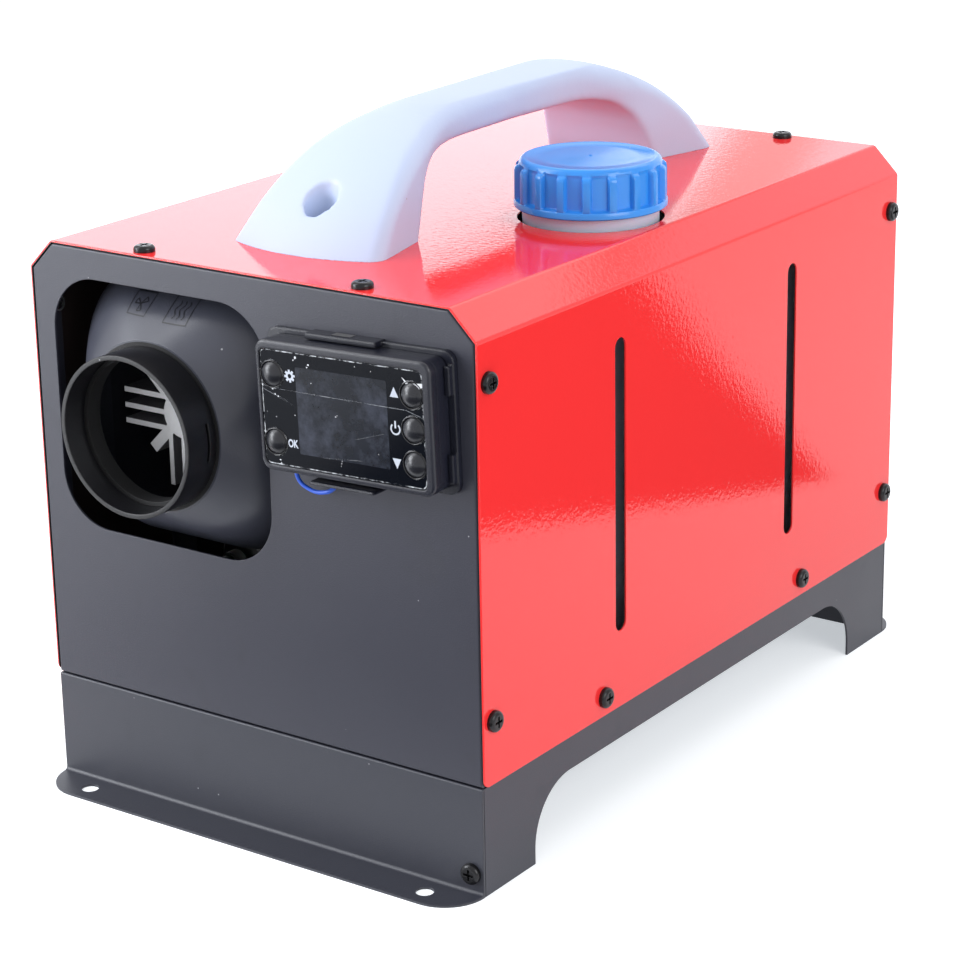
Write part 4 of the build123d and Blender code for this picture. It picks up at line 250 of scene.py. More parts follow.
# Dust: sparse pale specks of uneven size.
largest_speck = 0.22             # radius, as a share of the cell that it lies in
speck_cover = 0.6
dust, entry, leave = node_group(
    "dust specks", [("Scale", "NodeSocketFloat", 420.0), ("Share", "NodeSocketFloat", 0.03)],
    [("Mask", "NodeSocketFloat")])
cells = put(dust, "ShaderNodeTexVoronoi", [("Vector", own_place(dust)), ("Scale", entry.outputs["Scale"])])
pick = put(dust, "ShaderNodeSeparateColor", [(0, cells.outputs["Color"])])
reach = calc(dust, "MULTIPLY", pick.outputs[1], largest_speck)
dot = calc(dust, "LESS_THAN", cells.outputs["Distance"], reach)
rare = calc(dust, "LESS_THAN", pick.outputs[0], entry.outputs["Share"])
speck_mask = calc(dust, "MULTIPLY", calc(dust, "MULTIPLY", dot, rare), speck_cover)
dust.links.new(speck_mask, leave.inputs["Mask"])

# Finger smudges: round dull spots, few and far apart, with broken edges.
smudge_shade = 0.6               # share of the coat's colour left in a smudge
smudge_dulling = 0.2             # roughness that a smudge adds
marks, entry, leave = node_group(
    "finger smudges", [("Scale", "NodeSocketFloat", 24.0), ("Share", "NodeSocketFloat", 0.3)],
    [("Mask", "NodeSocketFloat")])
patch = ramp(marks, noise(marks, own_place(marks), entry.outputs["Scale"], 3.0, 0.6), 0.60, 0.72)
marks.links.new(calc(marks, "MULTIPLY", patch, entry.outputs["Share"]), leave.inputs["Mask"])


def coat(name, colour, gloss, cloud=0.1, cloud_scale=9.0, gloss_spread=0.1, grain_scale=900.0, relief=0.02,
         grain_depth=0.0002, metallic=0.0, dust_share=0.0, dust_colour=(0.55, 0.55, 0.58, 1), mark_share=0.0,
         edge=0.0):
    """Material made of the surface skin, with dust, smudges and softened edges where they are given."""
    made = bpy.data.materials.new(name)
    made.use_nodes = True
    tree = made.node_tree
    shader = shader_of(made)
    base = put(tree, "ShaderNodeGroup",
               [("Colour", (*colour, 1)), ("Cloud", cloud), ("Cloud Scale", cloud_scale), ("Gloss", gloss),
                ("Gloss Spread", gloss_spread), ("Grain Scale", grain_scale)], node_tree=skin)
    tint, rough = base.outputs["Colour"], base.outputs["Roughness"]
    if mark_share:
        worn = put(tree, "ShaderNodeGroup", [("Share", mark_share)], node_tree=marks).outputs["Mask"]
        tint = blend_colour(tree, worn, tint, (*(part * smudge_shade for part in colour), 1))
        rough = calc(tree, "ADD", rough, calc(tree, "MULTIPLY", worn, smudge_dulling))
    if dust_share:
        specks = put(tree, "ShaderNodeGroup", [("Share", dust_share)], node_tree=dust).outputs["Mask"]
        tint = blend_colour(tree, specks, tint, dust_colour)
    tree.links.new(tint, shader.inputs["Base Color"])
    tree.links.new(rough, shader.inputs["Roughness"])
    bump = put(tree, "ShaderNodeBump", [("Height", base.outputs["Height"]), ("Strength", relief),
                                        ("Distance", grain_depth)])
    if edge:
        soft = put(tree, "ShaderNodeBevel", [("Radius", edge)], samples=4)
        tree.links.new(soft.outputs[0], bump.inputs["Normal"])
    tree.links.new(bump.outputs[0], shader.inputs["Normal"])
    shader.inputs["Metallic"].default_value = metallic
    return made


def dress(material, *names):
    """Gives CAD nodes a material in place of the plain one they came with."""
    for name in names:
        for slot in nodes[name].material_slots:
            slot.material = material


satin = dict(cloud=0.14, cloud_scale=7.0, gloss_spread=0.10, grain_scale=1500.0, relief=0.22,
             grain_depth=0.0003, edge=0.0005)
black_sheet = coat("black powder coat", (0.030, 0.031, 0.046), 0.40, dust_share=0.004,
                   mark_share=0.30, **satin)
dress(black_sheet, "front_panel", "rear_panel", "base_tray", "rear_foot", "heater_stand", "tank_straps")
foot_sheet = coat("black powder coat of the foot", (0.032, 0.034, 0.047), 0.42, dust_share=0.006,
                  mark_share=0.20, **satin)
dress(foot_sheet, "front_foot")

# ---- fuel tank and filler neck ------------------------------------------------------------------
# Blow-moulded polyethylene, milky and slightly see-through. The neck comes up through a hole in the
# cover, and the tank is held down by two sheet straps.
tank_skin = coat("milky polyethylene", (0.60, 0.64, 0.78), 0.38, cloud=0.10, cloud_scale=18.0,
                 grain_scale=500.0, relief=0.2, grain_depth=0.0004)
shader_of(tank_skin).inputs["Subsurface Weight"].default_value = 0.2
shader_of(tank_skin).inputs["Subsurface Scale"].default_value = 0.004
dress(tank_skin, "fuel_tank")
black_rubber = coat("black rubber", (0.018, 0.018, 0.020), 0.62, cloud=0.25, grain_scale=1200.0, relief=0.4,
                    dust_share=0.02)
dress(black_rubber, "cap_seal", "pump_cradle", "pipe_grommets")

# ---- fuel line, filter and pump -----------------------------------------------------------------
# Green fuel hose from the tank's brass outlet through a clear filter and a pulse pump to the heater,
# held on its barbs by zinc plated spring bands.
green_hose = coat("green fuel hose", (0.03, 0.09, 0.045), 0.5, cloud=0.3, grain_scale=1400.0, relief=0.3)
dress(green_hose, "hose_tank", "hose_pump", "hose_heater")
brass = coat("machined brass", (0.72, 0.50, 0.20), 0.28, cloud=0.15, grain_scale=2200.0, relief=0.15,
             metallic=1.0)
dress(brass, "tank_outlet")
clear = coat("clear filter bowl", (0.86, 0.88, 0.84), 0.12, cloud=0.05)
shader_of(clear).inputs["Transmission Weight"].default_value = 0.85
dress(clear, "fuel_filter")
zinc = coat("zinc plate", (0.62, 0.63, 0.62), 0.30, cloud=0.25, cloud_scale=60.0, grain_scale=1800.0,
            relief=0.2, metallic=1.0)
dress(zinc, "hose_clips", "rivet_nuts", "handle_screws", "handle_nuts", "bracket_screws")
steel = coat("drawn steel", (0.46, 0.46, 0.48), 0.34, cloud=0.2, cloud_scale=40.0, grain_scale=2400.0,
             relief=0.2, metallic=1.0)
dress(steel, "fuel_pump", "pump_plunger", "fan_motor", "motor_shaft", "burner_tube", "exhaust_pipe")
spring_wire = coat("spring wire", (0.42, 0.42, 0.44), 0.24, cloud=0.2, grain_scale=2600.0, metallic=1.0)
dress(spring_wire, "pump_spring")

# ---- heater -------------------------------------------------------------------------------------
# Cast aluminium heat exchanger and blower in a moulded nylon casing, standing on a sheet bracket over
# a fibre gasket. The moulded bell of the outlet hood goes in front with the collar that takes the
# duct, and the star of fins at the exchanger's nose shines through it.


def recolour(material, share, colour):
    """Blends another colour into a material where a mask says so."""
    base = shader_of(material).inputs["Base Color"]
    tree = material.node_tree
    tree.links.new(blend_colour(tree, share, base.links[0].from_socket, colour), base)


def roughen(material, share, added):
    """Adds roughness to a material where a mask says so."""
    rough = shader_of(material).inputs["Roughness"]
    tree = material.node_tree
    rougher = calc(tree, "ADD", rough.links[0].from_socket, calc(tree, "MULTIPLY", share, added), clamp=True)
    tree.links.new(rougher, rough)


cast = coat("cast aluminium", (0.86, 0.86, 0.88), 0.46, cloud=0.16, cloud_scale=70.0, relief=0.5,
            grain_depth=0.0005, metallic=0.1, dust_share=0.03, dust_colour=(0.2, 0.2, 0.2, 1))
dress(cast, "blower_housing", "intake_pipe")
# The fins' colour holds painted light and shade: faces turned to the front are painted bright as lit, flanks
# painted dark as shaded.
fins = coat("cast fins with painted light and shade", (0.92, 0.93, 0.96), 0.42, cloud=0.10, cloud_scale=90.0, relief=0.4,
            grain_depth=0.0004, edge=0.0006)
front_facing, flank_facing = -0.75, -0.35      # a face's own Y direction: fronts are bright, flanks dark
tree = fins.node_tree
direction = put(tree, "ShaderNodeTexCoord").outputs["Normal"]
facing = put(tree, "ShaderNodeSeparateXYZ", [(0, direction)]).outputs[1]
# Painted shade on the flanks of the fins.
recolour(fins, ramp(tree, facing, front_facing, flank_facing), (0.20, 0.20, 0.22, 1))
dress(fins, "heat_exchanger")
nylon = coat("black nylon", (0.036, 0.037, 0.050), 0.44, cloud=0.18, cloud_scale=12.0, gloss_spread=0.16,
             grain_scale=1500.0, relief=0.22, grain_depth=0.0003, dust_share=0.006, mark_share=0.2,
             edge=0.0004)
dress(nylon, "heater_case_lower", "heater_case_upper", "inlet_hood", "inlet_guard", "power_gland",
      "combustion_impeller", "air_fan")
ceramic = coat("ceramic", (0.80, 0.79, 0.74), 0.5, cloud=0.2)
dress(ceramic, "glow_plug", "overheat_sensor")
green_board = coat("green circuit board", (0.02, 0.16, 0.07), 0.3, cloud=0.3, cloud_scale=90.0)
dress(green_board, "control_board", "controller_board")
gasket_fibre = coat("gasket fibre", (0.17, 0.165, 0.155), 0.8, cloud=0.35, cloud_scale=80.0, relief=0.6)
dress(gasket_fibre, "heater_gasket")

# The hood's bell is satin, in a copy of the black nylon painted lighter than the case for the light it
# catches.
# Within the collar, and in a thin ring round its foot, it is dull and painted dark as shade.
hood_nylon = coat("black nylon of the hood, painted light and shade", (0.050, 0.053, 0.072), 0.34, cloud=0.14, cloud_scale=12.0,
                  gloss_spread=0.12, grain_scale=1500.0, relief=0.18, grain_depth=0.0003, dust_share=0.004,
                  mark_share=0.2, edge=0.0004)
collar_low, collar_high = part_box("outlet_collar")
collar_middle = (collar_low + collar_high) / 2
# Painted shade reaches this far beyond the collar's radius, round its foot.
foot_painted_shadow = 0.0017
painted_shade_radius = (collar_high.x - collar_low.x) / 2 + foot_painted_shadow
tree = hood_nylon.node_tree
away = put(tree, "ShaderNodeVectorMath", [(0, own_place(tree)), (1, tuple(-collar_middle))], operation="ADD")
flat_away = put(tree, "ShaderNodeVectorMath", [(0, away.outputs[0]), (1, (1, 0, 1))], operation="MULTIPLY")
reach = put(tree, "ShaderNodeVectorMath", [(0, flat_away.outputs[0])], operation="LENGTH").outputs["Value"]
# Painted shade within the collar's bore and round its foot.
collar_painted_shade = calc(tree, "LESS_THAN", reach, painted_shade_radius)
recolour(hood_nylon, collar_painted_shade, (0.004, 0.004, 0.005, 1))
roughen(hood_nylon, collar_painted_shade, 0.3)
dress(hood_nylon, "outlet_hood")
collar_black = coat("collar black", (0.005, 0.005, 0.007), 0.36, cloud=0.3, cloud_scale=20.0,
                    gloss_spread=0.2, grain_scale=1300.0, relief=0.25, grain_depth=0.0003, dust_share=0.01,
                    mark_share=0.3, edge=0.0009)
dress(collar_black, "outlet_collar")

# Two square symbols moulded into the hood above the collar, fan on the left and warm air on the
# right: fine lines that follow the bell, painted dark for the shade in their moulded grooves.
hood_mesh = nodes["outlet_hood"].data
hood_skin = BVHTree.FromPolygons([v.co for v in hood_mesh.vertices], [p.vertices for p in hood_mesh.polygons])
line_width = 0.00045
line_proud = 0.00012             # above the bell's surface
line_step = 0.0012               # longest piece of a line between two points on the bell
before_hood = -0.3               # the points are found from here, straight backwards


def mesh_of(name, shape, material):
    """Finished mesh of a bmesh, with its material."""
    mesh = bpy.data.meshes.new(name)
    shape.to_mesh(mesh)
    shape.free()
    mesh.materials.append(material)
    return mesh


def moulded_lines(name, strokes, material, body):
    """Fine lines given as XZ polylines, laid on the hood's front."""
    shape = bmesh.new()
    for stroke in strokes:
        last = None
        for (x0, z0), (x1, z1) in zip(stroke, stroke[1:]):
            steps = max(2, ceil(hypot(x1 - x0, z1 - z0) / line_step))
            aside = Vector((x1 - x0, 0, z1 - z0)).normalized().cross(Vector((0, -1, 0))) * line_width / 2
            for step in range(steps + 1):
                x, z = x0 + (x1 - x0) * step / steps, z0 + (z1 - z0) * step / steps
                pair = []
                for sign in (-1, 1):
                    start = Vector((x, before_hood, z)) + aside * sign
                    hit, normal = hood_skin.ray_cast(start, Vector((0, 1, 0)))[:2]
                    if hit:
                        pair.append(shape.verts.new(hit + normal * line_proud))
                if last and step and len(pair) == 2:
                    shape.faces.new((last[0], pair[0], pair[1], last[1]))
                last = pair if len(pair) == 2 else None
    made = placed(name, mesh_of(name, shape, material))
    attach(made, body)


def square(x, z, half_wide, half_tall):
    """Closed rectangular stroke round a middle."""
    left, right, low, high = x - half_wide, x + half_wide, z - half_tall, z + half_tall
    return [(left, low), (right, low), (right, high), (left, high), (left, low)]


def polar(x, z, radius, angle):
    """Point on a circle round a middle."""
    return x + radius * cos(angle), z + radius * sin(angle)


# Painted shade of the symbols' moulded grooves.
moulded = coat("moulded line, painted shade", (0.012, 0.012, 0.016), 0.36, cloud=0.2, cloud_scale=60.0)
fan_x, warm_x, symbol_z = -0.0622, -0.0394, 0.2313
blade_wide, blade_tall, blade_spread, first_blade = 0.0034, 0.0026, 0.7, 0.4
fan_strokes = [square(fan_x, symbol_z, 0.0054, 0.0040)]
for blade in range(3):
    angle = first_blade + blade * 2 * pi / 3
    tip = [(fan_x + blade_wide * cos(angle + turned), symbol_z + blade_tall * sin(angle + turned))
           for turned in (0.0, blade_spread / 2, blade_spread)]
    fan_strokes.append(tip + [(fan_x, symbol_z), tip[0]])
moulded_lines("fan_symbol", fan_strokes, moulded, "case")
wave_swing, wave_tall, wave_steps, steps_a_swing = 0.0007, 0.0060, 12, 8
warm_strokes = [square(warm_x, symbol_z, 0.0062, 0.0048)]
for shift in (-0.0026, 0.0, 0.0026):
    warm_strokes.append([(warm_x + shift + wave_swing * sin(2 * pi * step / steps_a_swing),
                          symbol_z - wave_tall / 2 + wave_tall * step / wave_steps)
                         for step in range(wave_steps + 1)])
moulded_lines("warm_air_symbol", warm_strokes, moulded, "case")

# ---- cover --------------------------------------------------------------------------------------
# Folded steel sheet with a bright red gloss powder coat, near black and dull on its inner face and the inner
# part of its cut edges. The coat lies like orange peel, which breaks up the edges of what it reflects.
red = coat("red gloss powder coat", (0.90, 0.030, 0.032), 0.038, cloud=0.05, cloud_scale=5.0,
           gloss_spread=0.05, grain_scale=520.0, relief=0.12, grain_depth=0.0004)
cover_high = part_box("cover")[1]
skin_depth = 0.0007              # what lies deeper than this in the sheet is its inner face
slant = 0.013                    # the slanted edge cuts this much off the top corner
tree = red.node_tree
place = put(tree, "ShaderNodeSeparateXYZ", [(0, own_place(tree))])
across = calc(tree, "ABSOLUTE", place.outputs[0])
below_sides = calc(tree, "LESS_THAN", across, cover_high.x - skin_depth)
below_top = calc(tree, "LESS_THAN", place.outputs[2], cover_high.z - skin_depth)
below_slant = calc(tree, "LESS_THAN", calc(tree, "ADD", across, place.outputs[2]),
                   cover_high.x + cover_high.z - slant - 1.4 * skin_depth)
# Near black and dull deeper in the sheet than its outer skin.
inside = calc(tree, "MULTIPLY", calc(tree, "MULTIPLY", below_sides, below_top), below_slant)
recolour(red, inside, (0.012, 0.006, 0.006, 1))
roughen(red, inside, 0.6)
dress(red, "cover")

# ---- case screws --------------------------------------------------------------------------------
# Black oxide pan head machine screws with a cross recess, turned into rivet nuts in the sheets from
# outside.
black_screw = coat("black oxide", (0.014, 0.014, 0.016), 0.22, cloud=0.4, cloud_scale=300.0, gloss_spread=0.2,
                   grain_scale=2600.0, relief=0.2, metallic=0.5, edge=0.0003)
dress(black_screw, "case_screws")

# ---- handle -------------------------------------------------------------------------------------
# Moulded polypropylene, pale blue and satin, screwed down through a round hole in each foot. Its
# crown is full, its edges are eased, and its feet spread a little where they meet the cover.
handle_plastic = coat("pale blue polypropylene", (0.50, 0.58, 0.78), 0.50, cloud=0.05, cloud_scale=10.0,
                      gloss_spread=0.1, grain_scale=1100.0, relief=0.14, grain_depth=0.0003, dust_share=0.002,
                      dust_colour=(0.30, 0.26, 0.26, 1))
handle_low, handle_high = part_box("handle")
# Distance along the handle from its middle, and the opening's height above the foot there.
inner_arch = [(0.0, 0.0347), (0.038, 0.0344), (0.066, 0.0324), (0.081, 0.026), (0.0885, 0.017),
              (0.093, 0.007), (0.097, 0.0)]
# Y, and how far the crown is raised there.
fuller_crown = [(-0.150, 0.0), (-0.115, 0.0012), (-0.095, 0.0024), (-0.070, 0.0020), (-0.040, 0.0012),
                (-0.005, 0.0018), (0.020, 0.0032), (0.045, 0.0043), (0.065, 0.0044), (0.100, 0.0038),
                (0.125, 0.0030), (0.150, 0.0018), (0.172, 0.0)]
grip_depth = 0.014               # the rise is full this far above the opening, and nothing at it
top_gap = 0.0001                 # left below the top of the CAD's box
top_knee = 0.001                 # the crown flattens over this height below that
foot_inner_end, foot_length = 0.097, 0.0505
foot_spread, foot_spread_outer = 0.0018, 0.0022     # outwards along Y, and more at the outer end
foot_widening = 1.022
foot_sink = 0.004                # the foot is drawn down this far and then cut off flat
at_foot = 0.00005                # points this near the lowest one belong to the foot
mesh_fineness = 0.0009
easing_rounds = 14


def between(table, value):
    """Value read from a table of pairs, straight between its rows."""
    if value <= table[0][0]:
        return table[0][1]
    for (x0, y0), (x1, y1) in zip(table, table[1:]):
        if value <= x1:
            return y0 + (y1 - y0) * (value - x0) / (x1 - x0)
    return table[-1][1]


raw = placed("handle_raw", nodes["handle"].data.copy())
for vertex in raw.data.vertices:
    point = vertex.co
    if point.z < handle_low.z + at_foot:
        outer = min(1.0, max(0.0, (abs(point.y) - foot_inner_end) / foot_length))
        point.y += (foot_spread + foot_spread_outer * outer) * (1 if point.y > 0 else -1)
        point.x *= foot_widening
        point.z -= foot_sink
even = raw.modifiers.new("even", "REMESH")
even.mode = "VOXEL"
even.voxel_size = mesh_fineness
ease = raw.modifiers.new("ease", "SMOOTH")
ease.factor = 0.5
ease.iterations = easing_rounds
bpy.context.view_layer.update()
handle_mesh = bpy.data.meshes.new_from_object(raw.evaluated_get(bpy.context.evaluated_depsgraph_get()))
bpy.data.objects.remove(raw)
cut = bmesh.new()
cut.from_mesh(handle_mesh)
bmesh.ops.bisect_plane(cut, geom=cut.verts[:] + cut.edges[:] + cut.faces[:], plane_co=(0, 0, handle_low.z),
                       plane_no=(0, 0, 1), clear_inner=True)
for face in cut.faces:
    face.smooth = True
bmesh.ops.triangle_fill(cut, edges=[edge for edge in cut.edges if edge.is_boundary])
cut.to_mesh(handle_mesh)
cut.free()
crest = handle_high.z - top_gap
for vertex in handle_mesh.vertices:
    point = vertex.co
    opening = handle_low.z + between(inner_arch, abs(point.y))
    share = min(1.0, max(0.0, (point.z - opening) / grip_depth))
    point.z += between(fuller_crown, point.y) * share
    over = point.z - (crest - top_knee)
    if over > 0:
        point.z = crest - top_knee / (1 + over / top_knee)
handle_mesh.materials.clear()
handle_mesh.materials.append(handle_plastic)
handle_piece = placed("handle_moulding", handle_mesh)
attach(handle_piece, "case")
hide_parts("handle")

# ---- fuel cap -----------------------------------------------------------------------------------
# Screw cap moulded in blue polypropylene, with ribs for the fingers above a plain flange. Its lid is a
# little domed inside a raised rim. It screws down onto the tank's neck over a rubber seal.
cap_plastic = coat("blue polypropylene", (0.032, 0.27, 0.80), 0.22, cloud=0.12, cloud_scale=40.0, relief=0.12,
                   dust_share=0.003)
cap_low, cap_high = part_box("fuel_cap")
cap_x, cap_y = (cap_low.x + cap_high.x) / 2, (cap_low.y + cap_high.y) / 2
# Rows of height, radius between the ribs and radius on the ribs, in millimetres, from the inside out.
cap_profile = [
    (19.5, 0.0, 0.0), (19.5, 31.2, 31.2), (0.3, 31.2, 31.2), (0.0, 31.5, 31.5), (0.0, 33.7, 33.7),
    (0.5, 34.3, 34.3), (2.7, 34.3, 34.3), (3.3, 33.9, 33.9), (3.7, 32.1, 34.1), (4.3, 31.6, 34.2),
    (16.4, 31.5, 34.1), (17.8, 31.5, 33.8), (18.5, 31.5, 33.0), (19.0, 31.7, 32.1), (19.6, 31.9, 31.9),
    (21.0, 31.3, 31.3), (21.8, 30.4, 30.4), (22.0, 29.6, 29.6), (21.9, 28.6, 28.6), (21.55, 28.0, 28.0),
    (21.6, 20.0, 20.0), (21.85, 8.0, 8.0), (21.9, 0.8, 0.8), (22.3, 0.6, 0.6), (22.3, 0.0, 0.0)]
cap_ribs = 18
# Across one rib: angle from its middle in radians, and how far it stands out there, from 0 to 1.
rib_steps = [(-0.150, 0), (-0.110, 0), (-0.070, 0), (-0.060, 0.6), (-0.047, 0.95), (-0.020, 1), (0.020, 1),
             (0.047, 0.95), (0.060, 0.6), (0.070, 0), (0.110, 0), (0.150, 0)]
columns = [(2 * pi * k / cap_ribs + aside, rise) for k in range(cap_ribs) for aside, rise in rib_steps]
shape = bmesh.new()
rows = []
for height, valley, crown in cap_profile:
    z = cap_low.z + height / 1000
    if valley == 0:
        rows.append([shape.verts.new((cap_x, cap_y, z))])
        continue
    row = []
    for angle, rise in columns:
        x, y = polar(cap_x, cap_y, (valley + (crown - valley) * rise) / 1000, angle)
        row.append(shape.verts.new((x, y, z)))
    rows.append(row)
for below, above in zip(rows, rows[1:]):
    for k in range(len(columns)):
        n = (k + 1) % len(columns)
        corners = [below[k % len(below)], below[n % len(below)], above[n % len(above)], above[k % len(above)]]
        shape.faces.new(list(dict.fromkeys(corners)))
bmesh.ops.recalc_face_normals(shape, faces=shape.faces)
for face in shape.faces:
    face.smooth = True
cap_mesh = mesh_of("cap_moulding", shape, cap_plastic)
cap_mesh.set_sharp_from_angle(angle=radians(38))
cap_piece = placed("cap_moulding", cap_mesh)
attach(cap_piece, "cap")
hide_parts("fuel_cap")

# ---- controller ---------------------------------------------------------------------------------
# Small controller with a black moulded shell, clipped a little out of level onto a bracket that is
# screwed to the panel. It has a glossy face sheet under a scratched protective film, printed symbols
# and five domed buttons.
frame_plastic = coat("controller frame plastic", (0.011, 0.012, 0.021), 0.26, cloud=0.2, cloud_scale=40.0,
                     grain_scale=2200.0, relief=0.25, dust_share=0.006, edge=0.0012)
dress(frame_plastic, "controller_bezel", "controller_shell", "controller_bracket")
face_sheet = coat("glossy face sheet", (0.002, 0.003, 0.006), 0.13, cloud=0.2, cloud_scale=50.0,
                  gloss_spread=0.12, dust_share=0.05)
shader_of(face_sheet).inputs["Specular IOR Level"].default_value = 0.10
dress(face_sheet, "controller_lens", "lcd_module")
button_black = coat("button black", (0.012, 0.013, 0.018), 0.28, cloud=0.2, cloud_scale=200.0, edge=0.0003)
dress(button_black, "button_settings", "button_ok", "button_up", "button_power", "button_down")
blue_lead = coat("blue insulation", (0.02, 0.10, 0.62), 0.4, cloud=0.1, cloud_scale=80.0)
dress(blue_lead, "controller_lead")

lens_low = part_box("controller_lens")[0]
bezel_low, bezel_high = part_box("controller_bezel")
face_middle = Vector(((bezel_low.x + bezel_high.x) / 2, lens_low.y, (bezel_low.z + bezel_high.z) / 2))
tilt = radians(1.8)
sheet_x, sheet_z = -0.8, -0.5    # middle of the face sheet and of the display
on_glass, on_print, on_scratch, on_speck, on_fold = 0.02, 0.03, 0.04, 0.05, 0.3    # above the face sheet
circle_points = 48
corner_points = 8


def on_face(x, z, proud=0.0):
    """Place on the controller's face, from its middle in millimetres."""
    x, z = x / 1000, z / 1000
    return face_middle + Vector((x * cos(tilt) - z * sin(tilt), -proud / 1000, x * sin(tilt) + z * cos(tilt)))


def band(shape, outer, inner):
    """Faces between two closed rows of points."""
    made = []
    for k in range(len(outer)):
        n = (k + 1) % len(outer)
        made.append(shape.faces.new((outer[k], outer[n], inner[n], inner[k])))
    return made


def on_controller(name, outlines, material, proud):
    """Thin flat shapes on the controller's face, each a closed outline or an (outer, inner) pair."""
    shape = bmesh.new()
    for outline in outlines:
        if isinstance(outline[0][0], (tuple, list)):
            band(shape, *([shape.verts.new(on_face(x, z, proud)) for x, z in row] for row in outline))
        else:
            shape.faces.new([shape.verts.new(on_face(x, z, proud)) for x, z in outline])
    made = placed(name, mesh_of(name, shape, material))
    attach(made, "case")


def ring(x, z, radius):
    """Points round a circle."""
    return [polar(x, z, radius, 2 * pi * k / circle_points) for k in range(circle_points)]


def rounded(x, z, width, height, corner):
    """Points round a rectangle with rounded corners."""
    points = []
    for cx, cz, start in ((1, 1, 0), (-1, 1, pi / 2), (-1, -1, pi), (1, -1, 3 * pi / 2)):
        middle = x + cx * (width / 2 - corner), z + cz * (height / 2 - corner)
        for k in range(corner_points + 1):
            points.append(polar(*middle, corner, start + pi / 2 * k / corner_points))
    return points


# Display area behind the film: a bluish smudged rectangle.
display = coat("display glass", (0.004, 0.006, 0.012), 0.20, cloud=1.2, cloud_scale=60.0, gloss_spread=0.3,
               dust_share=0.03)
tree = display.node_tree
haze = ramp(tree, noise(tree, own_place(tree), 75.0, 6.0, 0.7), 0.45, 0.85)
recolour(display, haze, (0.055, 0.063, 0.092, 1))
shader_of(display).inputs["Specular IOR Level"].default_value = 0.22
on_controller("display", [rounded(sheet_x, sheet_z, 46.4, 37.0, 0.8)], display, on_glass)

# Printed symbols: gear, OK, two arrows and the power sign.
print_white = coat("white print", (0.50, 0.54, 0.62), 0.4, cloud=0.15, cloud_scale=200.0)
gear_x, gear_z, gear_teeth, gear_turned, hub_radius = -27.0, 13.8, 8, 0.1, 0.95
tooth = [(-0.27, 1.95), (-0.19, 2.75), (0.19, 2.75), (0.27, 1.95)]     # angle from its middle, radius
tooth_corners = [(2 * pi * k / gear_teeth + gear_turned + aside, radius)
                 for k in range(gear_teeth) for aside, radius in tooth]
teeth = [polar(gear_x, gear_z, radius, angle) for angle, radius in tooth_corners]
hub = [polar(gear_x, gear_z, hub_radius, angle) for angle, radius in tooth_corners]
arrow_up = [(24.0, 11.7), (28.3, 11.7), (26.15, 16.0)]
arrow_down = [(23.8, -13.9), (28.1, -13.9), (25.9, -18.2)]
power_x, power_z, power_outer, power_inner = 26.0, -1.5, 2.55, 1.85
power_turns = [radians(degrees) for degrees in range(130, 411, 10)]    # open at the top for the stroke
power_arc = ([polar(power_x, power_z, power_outer, turned) for turned in power_turns] +
             [polar(power_x, power_z, power_inner, turned) for turned in reversed(power_turns)])
power_stroke = [(25.6, -1.2), (26.4, -1.2), (26.4, 1.9), (25.6, 1.9)]
on_controller("printed_symbols", [(teeth, hub), arrow_up, arrow_down, power_arc, power_stroke], print_white,
              on_print)
letters = bpy.data.curves.new("ok_letters", "FONT")
letters.body = "OK"
letters.size = 0.0066
letters.offset = 0.00022
letters.align_x = "CENTER"
letters.align_y = "CENTER"
flat = placed("ok_letters", letters)
bpy.context.view_layer.update()
word_mesh = bpy.data.meshes.new_from_object(flat)
bpy.data.objects.remove(flat)
word_x, word_z = -27.4, -15.2
word_wide, word_tall = 520, 700  # millimetres for a metre of the letters' own width and height
for vertex in word_mesh.vertices:
    vertex.co = on_face(word_x + vertex.co.x * word_wide, word_z + vertex.co.y * word_tall, on_print)
word_mesh.materials.clear()
word_mesh.materials.append(print_white)
word = placed("ok_word", word_mesh)
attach(word, "case")

# Protective film: white broken edges, a torn fold, scratches and specks. Pale broken rims round the buttons,
# in the film's material, are painted highlights of the gaps round the buttons.
film_and_rim_highlight = coat("film edge and button rim highlight", (0.72, 0.75, 0.80), 0.3, cloud=0.3, cloud_scale=200.0)
tree = film_and_rim_highlight.node_tree
broken = ramp(tree, noise(tree, own_place(tree), 260.0, 4.0, 0.75), 0.46, 0.66)
tree.links.new(broken, shader_of(film_and_rim_highlight).inputs["Alpha"])
buttons = [(-36.3, 13.6), (-36.3, -15.3), (35.0, 13.6), (35.0, -0.9), (35.0, -15.3)]
film_rim = (rounded(sheet_x, sheet_z, 82.4, 49.0, 2.6), rounded(sheet_x, sheet_z, 81.6, 48.2, 2.2))
# Painted highlights: pale broken rims round the buttons.
button_rim_highlights = [(ring(x, z, 6.15), ring(x, z, 5.95)) for x, z in buttons]
on_controller("film_edges_and_rim_highlights", [film_rim] + button_rim_highlights, film_and_rim_highlight, on_print)


def ribbon(x0, z0, x1, z1, width):
    """Straight hairline."""
    run = hypot(x1 - x0, z1 - z0)
    dx, dz = -(z1 - z0) / run * width / 2, (x1 - x0) / run * width / 2
    return [(x0 + dx, z0 + dz), (x1 + dx, z1 + dz), (x1 - dx, z1 - dz), (x0 - dx, z0 - dz)]


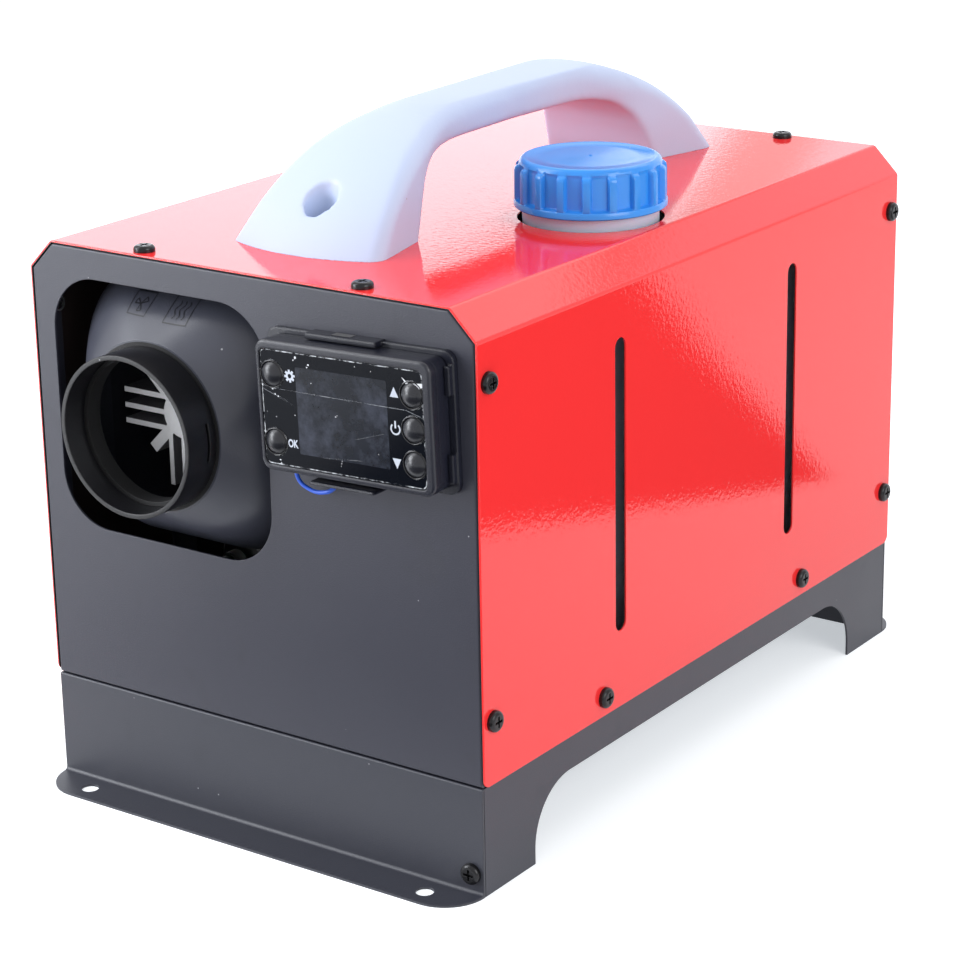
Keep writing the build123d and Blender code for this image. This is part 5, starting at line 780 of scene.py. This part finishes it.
scratch = coat("film scratch", (0.34, 0.36, 0.40), 0.4, cloud=0.3, cloud_scale=200.0)
scratch_cover = 0.7
tree = scratch.node_tree
faint = ramp(tree, noise(tree, own_place(tree), 120.0, 3.0, 0.7), 0.30, 0.75)
tree.links.new(calc(tree, "MULTIPLY", faint, scratch_cover), shader_of(scratch).inputs["Alpha"])
scratches = [(-42.7, 8.6, -33.0, 7.6, 0.35), (-33.0, 7.6, 31.7, 7.0, 0.30), (-42.7, 7.4, -25.5, 1.4, 0.22),
             (-36.5, 5.6, -29.0, 3.2, 0.22), (5.0, -9.0, 20.0, -4.5, 0.18), (31.7, 7.0, 40.5, 4.6, 0.25),
             (-12.0, -19.0, 8.0, -17.5, 0.15)]
on_controller("film_scratches", [ribbon(*line) for line in scratches], scratch, on_scratch)


def ragged_spot(x, z, size):
    """Uneven eight-sided spot."""
    outline = []
    for k in range(8):
        wide, tall = size * (1 + 0.5 * sin(7 * x + 3 * k)), size * (1 + 0.5 * cos(5 * z + 2 * k))
        outline.append((x + wide * cos(k * pi / 4), z + tall * sin(k * pi / 4)))
    return outline


white_speck = coat("film speck", (0.66, 0.68, 0.72), 0.4, cloud=0.3, cloud_scale=400.0)
specks = [
    (-23.5, 21.9, 0.55), (-24.6, 20.8, 0.35), (-17.0, 19.7, 0.45), (-17.8, 18.6, 0.3), (-16.0, 12.1, 0.22),
    (-4.2, -0.5, 0.30), (-3.4, 0.1, 0.18), (-36.4, 7.3, 0.40), (-35.2, 5.2, 0.30), (-33.6, 4.4, 0.34),
    (-25.4, -2.6, 0.24), (-34.7, -22.9, 0.40), (-34.2, -24.2, 0.28), (-2.2, -19.0, 0.20), (-2.8, -21.2, 0.16),
    (7.0, 21.9, 0.18), (15.0, 20.9, 0.22), (-41.8, 14.9, 0.6), (-41.6, 8.6, 0.5), (40.6, -1.2, 0.5),
    (40.4, -14.2, 0.45), (-42.0, -11.5, 0.5), (-42.2, -13.8, 0.7)]
on_controller("film_specks", [ragged_spot(*speck) for speck in specks], white_speck, on_speck)
fold_corner = [(30.4, 20.8), (34.6, 17.9), (33.4, 16.9)]
fold_flap = [(33.4, 18.3), (40.9, 19.2), (40.6, 17.4), (36.6, 15.6), (37.6, 17.3)]
on_controller("film_fold", [fold_corner, fold_flap], white_speck, on_fold)

# Low collar of the face sheet round each button.
skirt = coat("button collar", (0.006, 0.006, 0.008), 0.18, cloud=0.2, cloud_scale=200.0)
skirt_profile = ((6.05, 0.02), (5.95, 0.35), (5.72, 0.55), (5.42, 0.40), (5.38, 0.0))     # radius, height
shape = bmesh.new()
for x, z in buttons:
    rows = [[shape.verts.new(on_face(*point, proud)) for point in ring(x, z, radius)]
            for radius, proud in skirt_profile]
    for outer, inner in zip(rows, rows[1:]):
        for face in band(shape, outer, inner):
            face.smooth = True
skirts = placed("button_collars", mesh_of("button_collars", shape, skirt))
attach(skirts, "case")

# Lower snap lip of the bracket, bent forward under the frame, with a rounded front edge.
lip_profile = [(11.5, -31.0), (3.2, -31.0), (2.4, -31.3), (2.2, -31.9), (2.5, -32.5), (3.2, -32.7),
               (11.5, -32.7)]     # depth behind the face, Z
lip_middle = -31.9
lip_sections = ((-22.0, 0.35), (-21.6, 0.0), (10.6, 0.0), (11.0, 0.35))     # X, how much thinner there
shape = bmesh.new()
ends = []
for x, thinner in lip_sections:
    ends.append([shape.verts.new(on_face(x, z + (thinner if z < lip_middle else -thinner), -depth))
                 for depth, z in lip_profile])
for left, right in zip(ends, ends[1:]):
    band(shape, left, right)
shape.faces.new(ends[0][::-1])
shape.faces.new(ends[-1])
bmesh.ops.recalc_face_normals(shape, faces=shape.faces)
lower_lip = placed("bracket_lower_lip", mesh_of("bracket_lower_lip", shape, frame_plastic))
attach(lower_lip, "case")

# Small grey pad on the bracket's upper lip.
grey_pad = coat("grey pad", (0.10, 0.10, 0.105), 0.6, cloud=0.4, cloud_scale=300.0)
pad_height = 30.62
pad_left, pad_right, pad_front, pad_back = -12.0, -2.2, 9.6, 13.6
pad_corners = [(pad_left, pad_front), (pad_right, pad_front), (pad_right, pad_back), (pad_left, pad_back)]
pad = bpy.data.meshes.new("bracket_pad")
pad.from_pydata([on_face(x, pad_height, -depth) for x, depth in pad_corners], [], [(0, 1, 2, 3)])
pad.materials.append(grey_pad)
pad_piece = placed("bracket_pad", pad)
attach(pad_piece, "case")
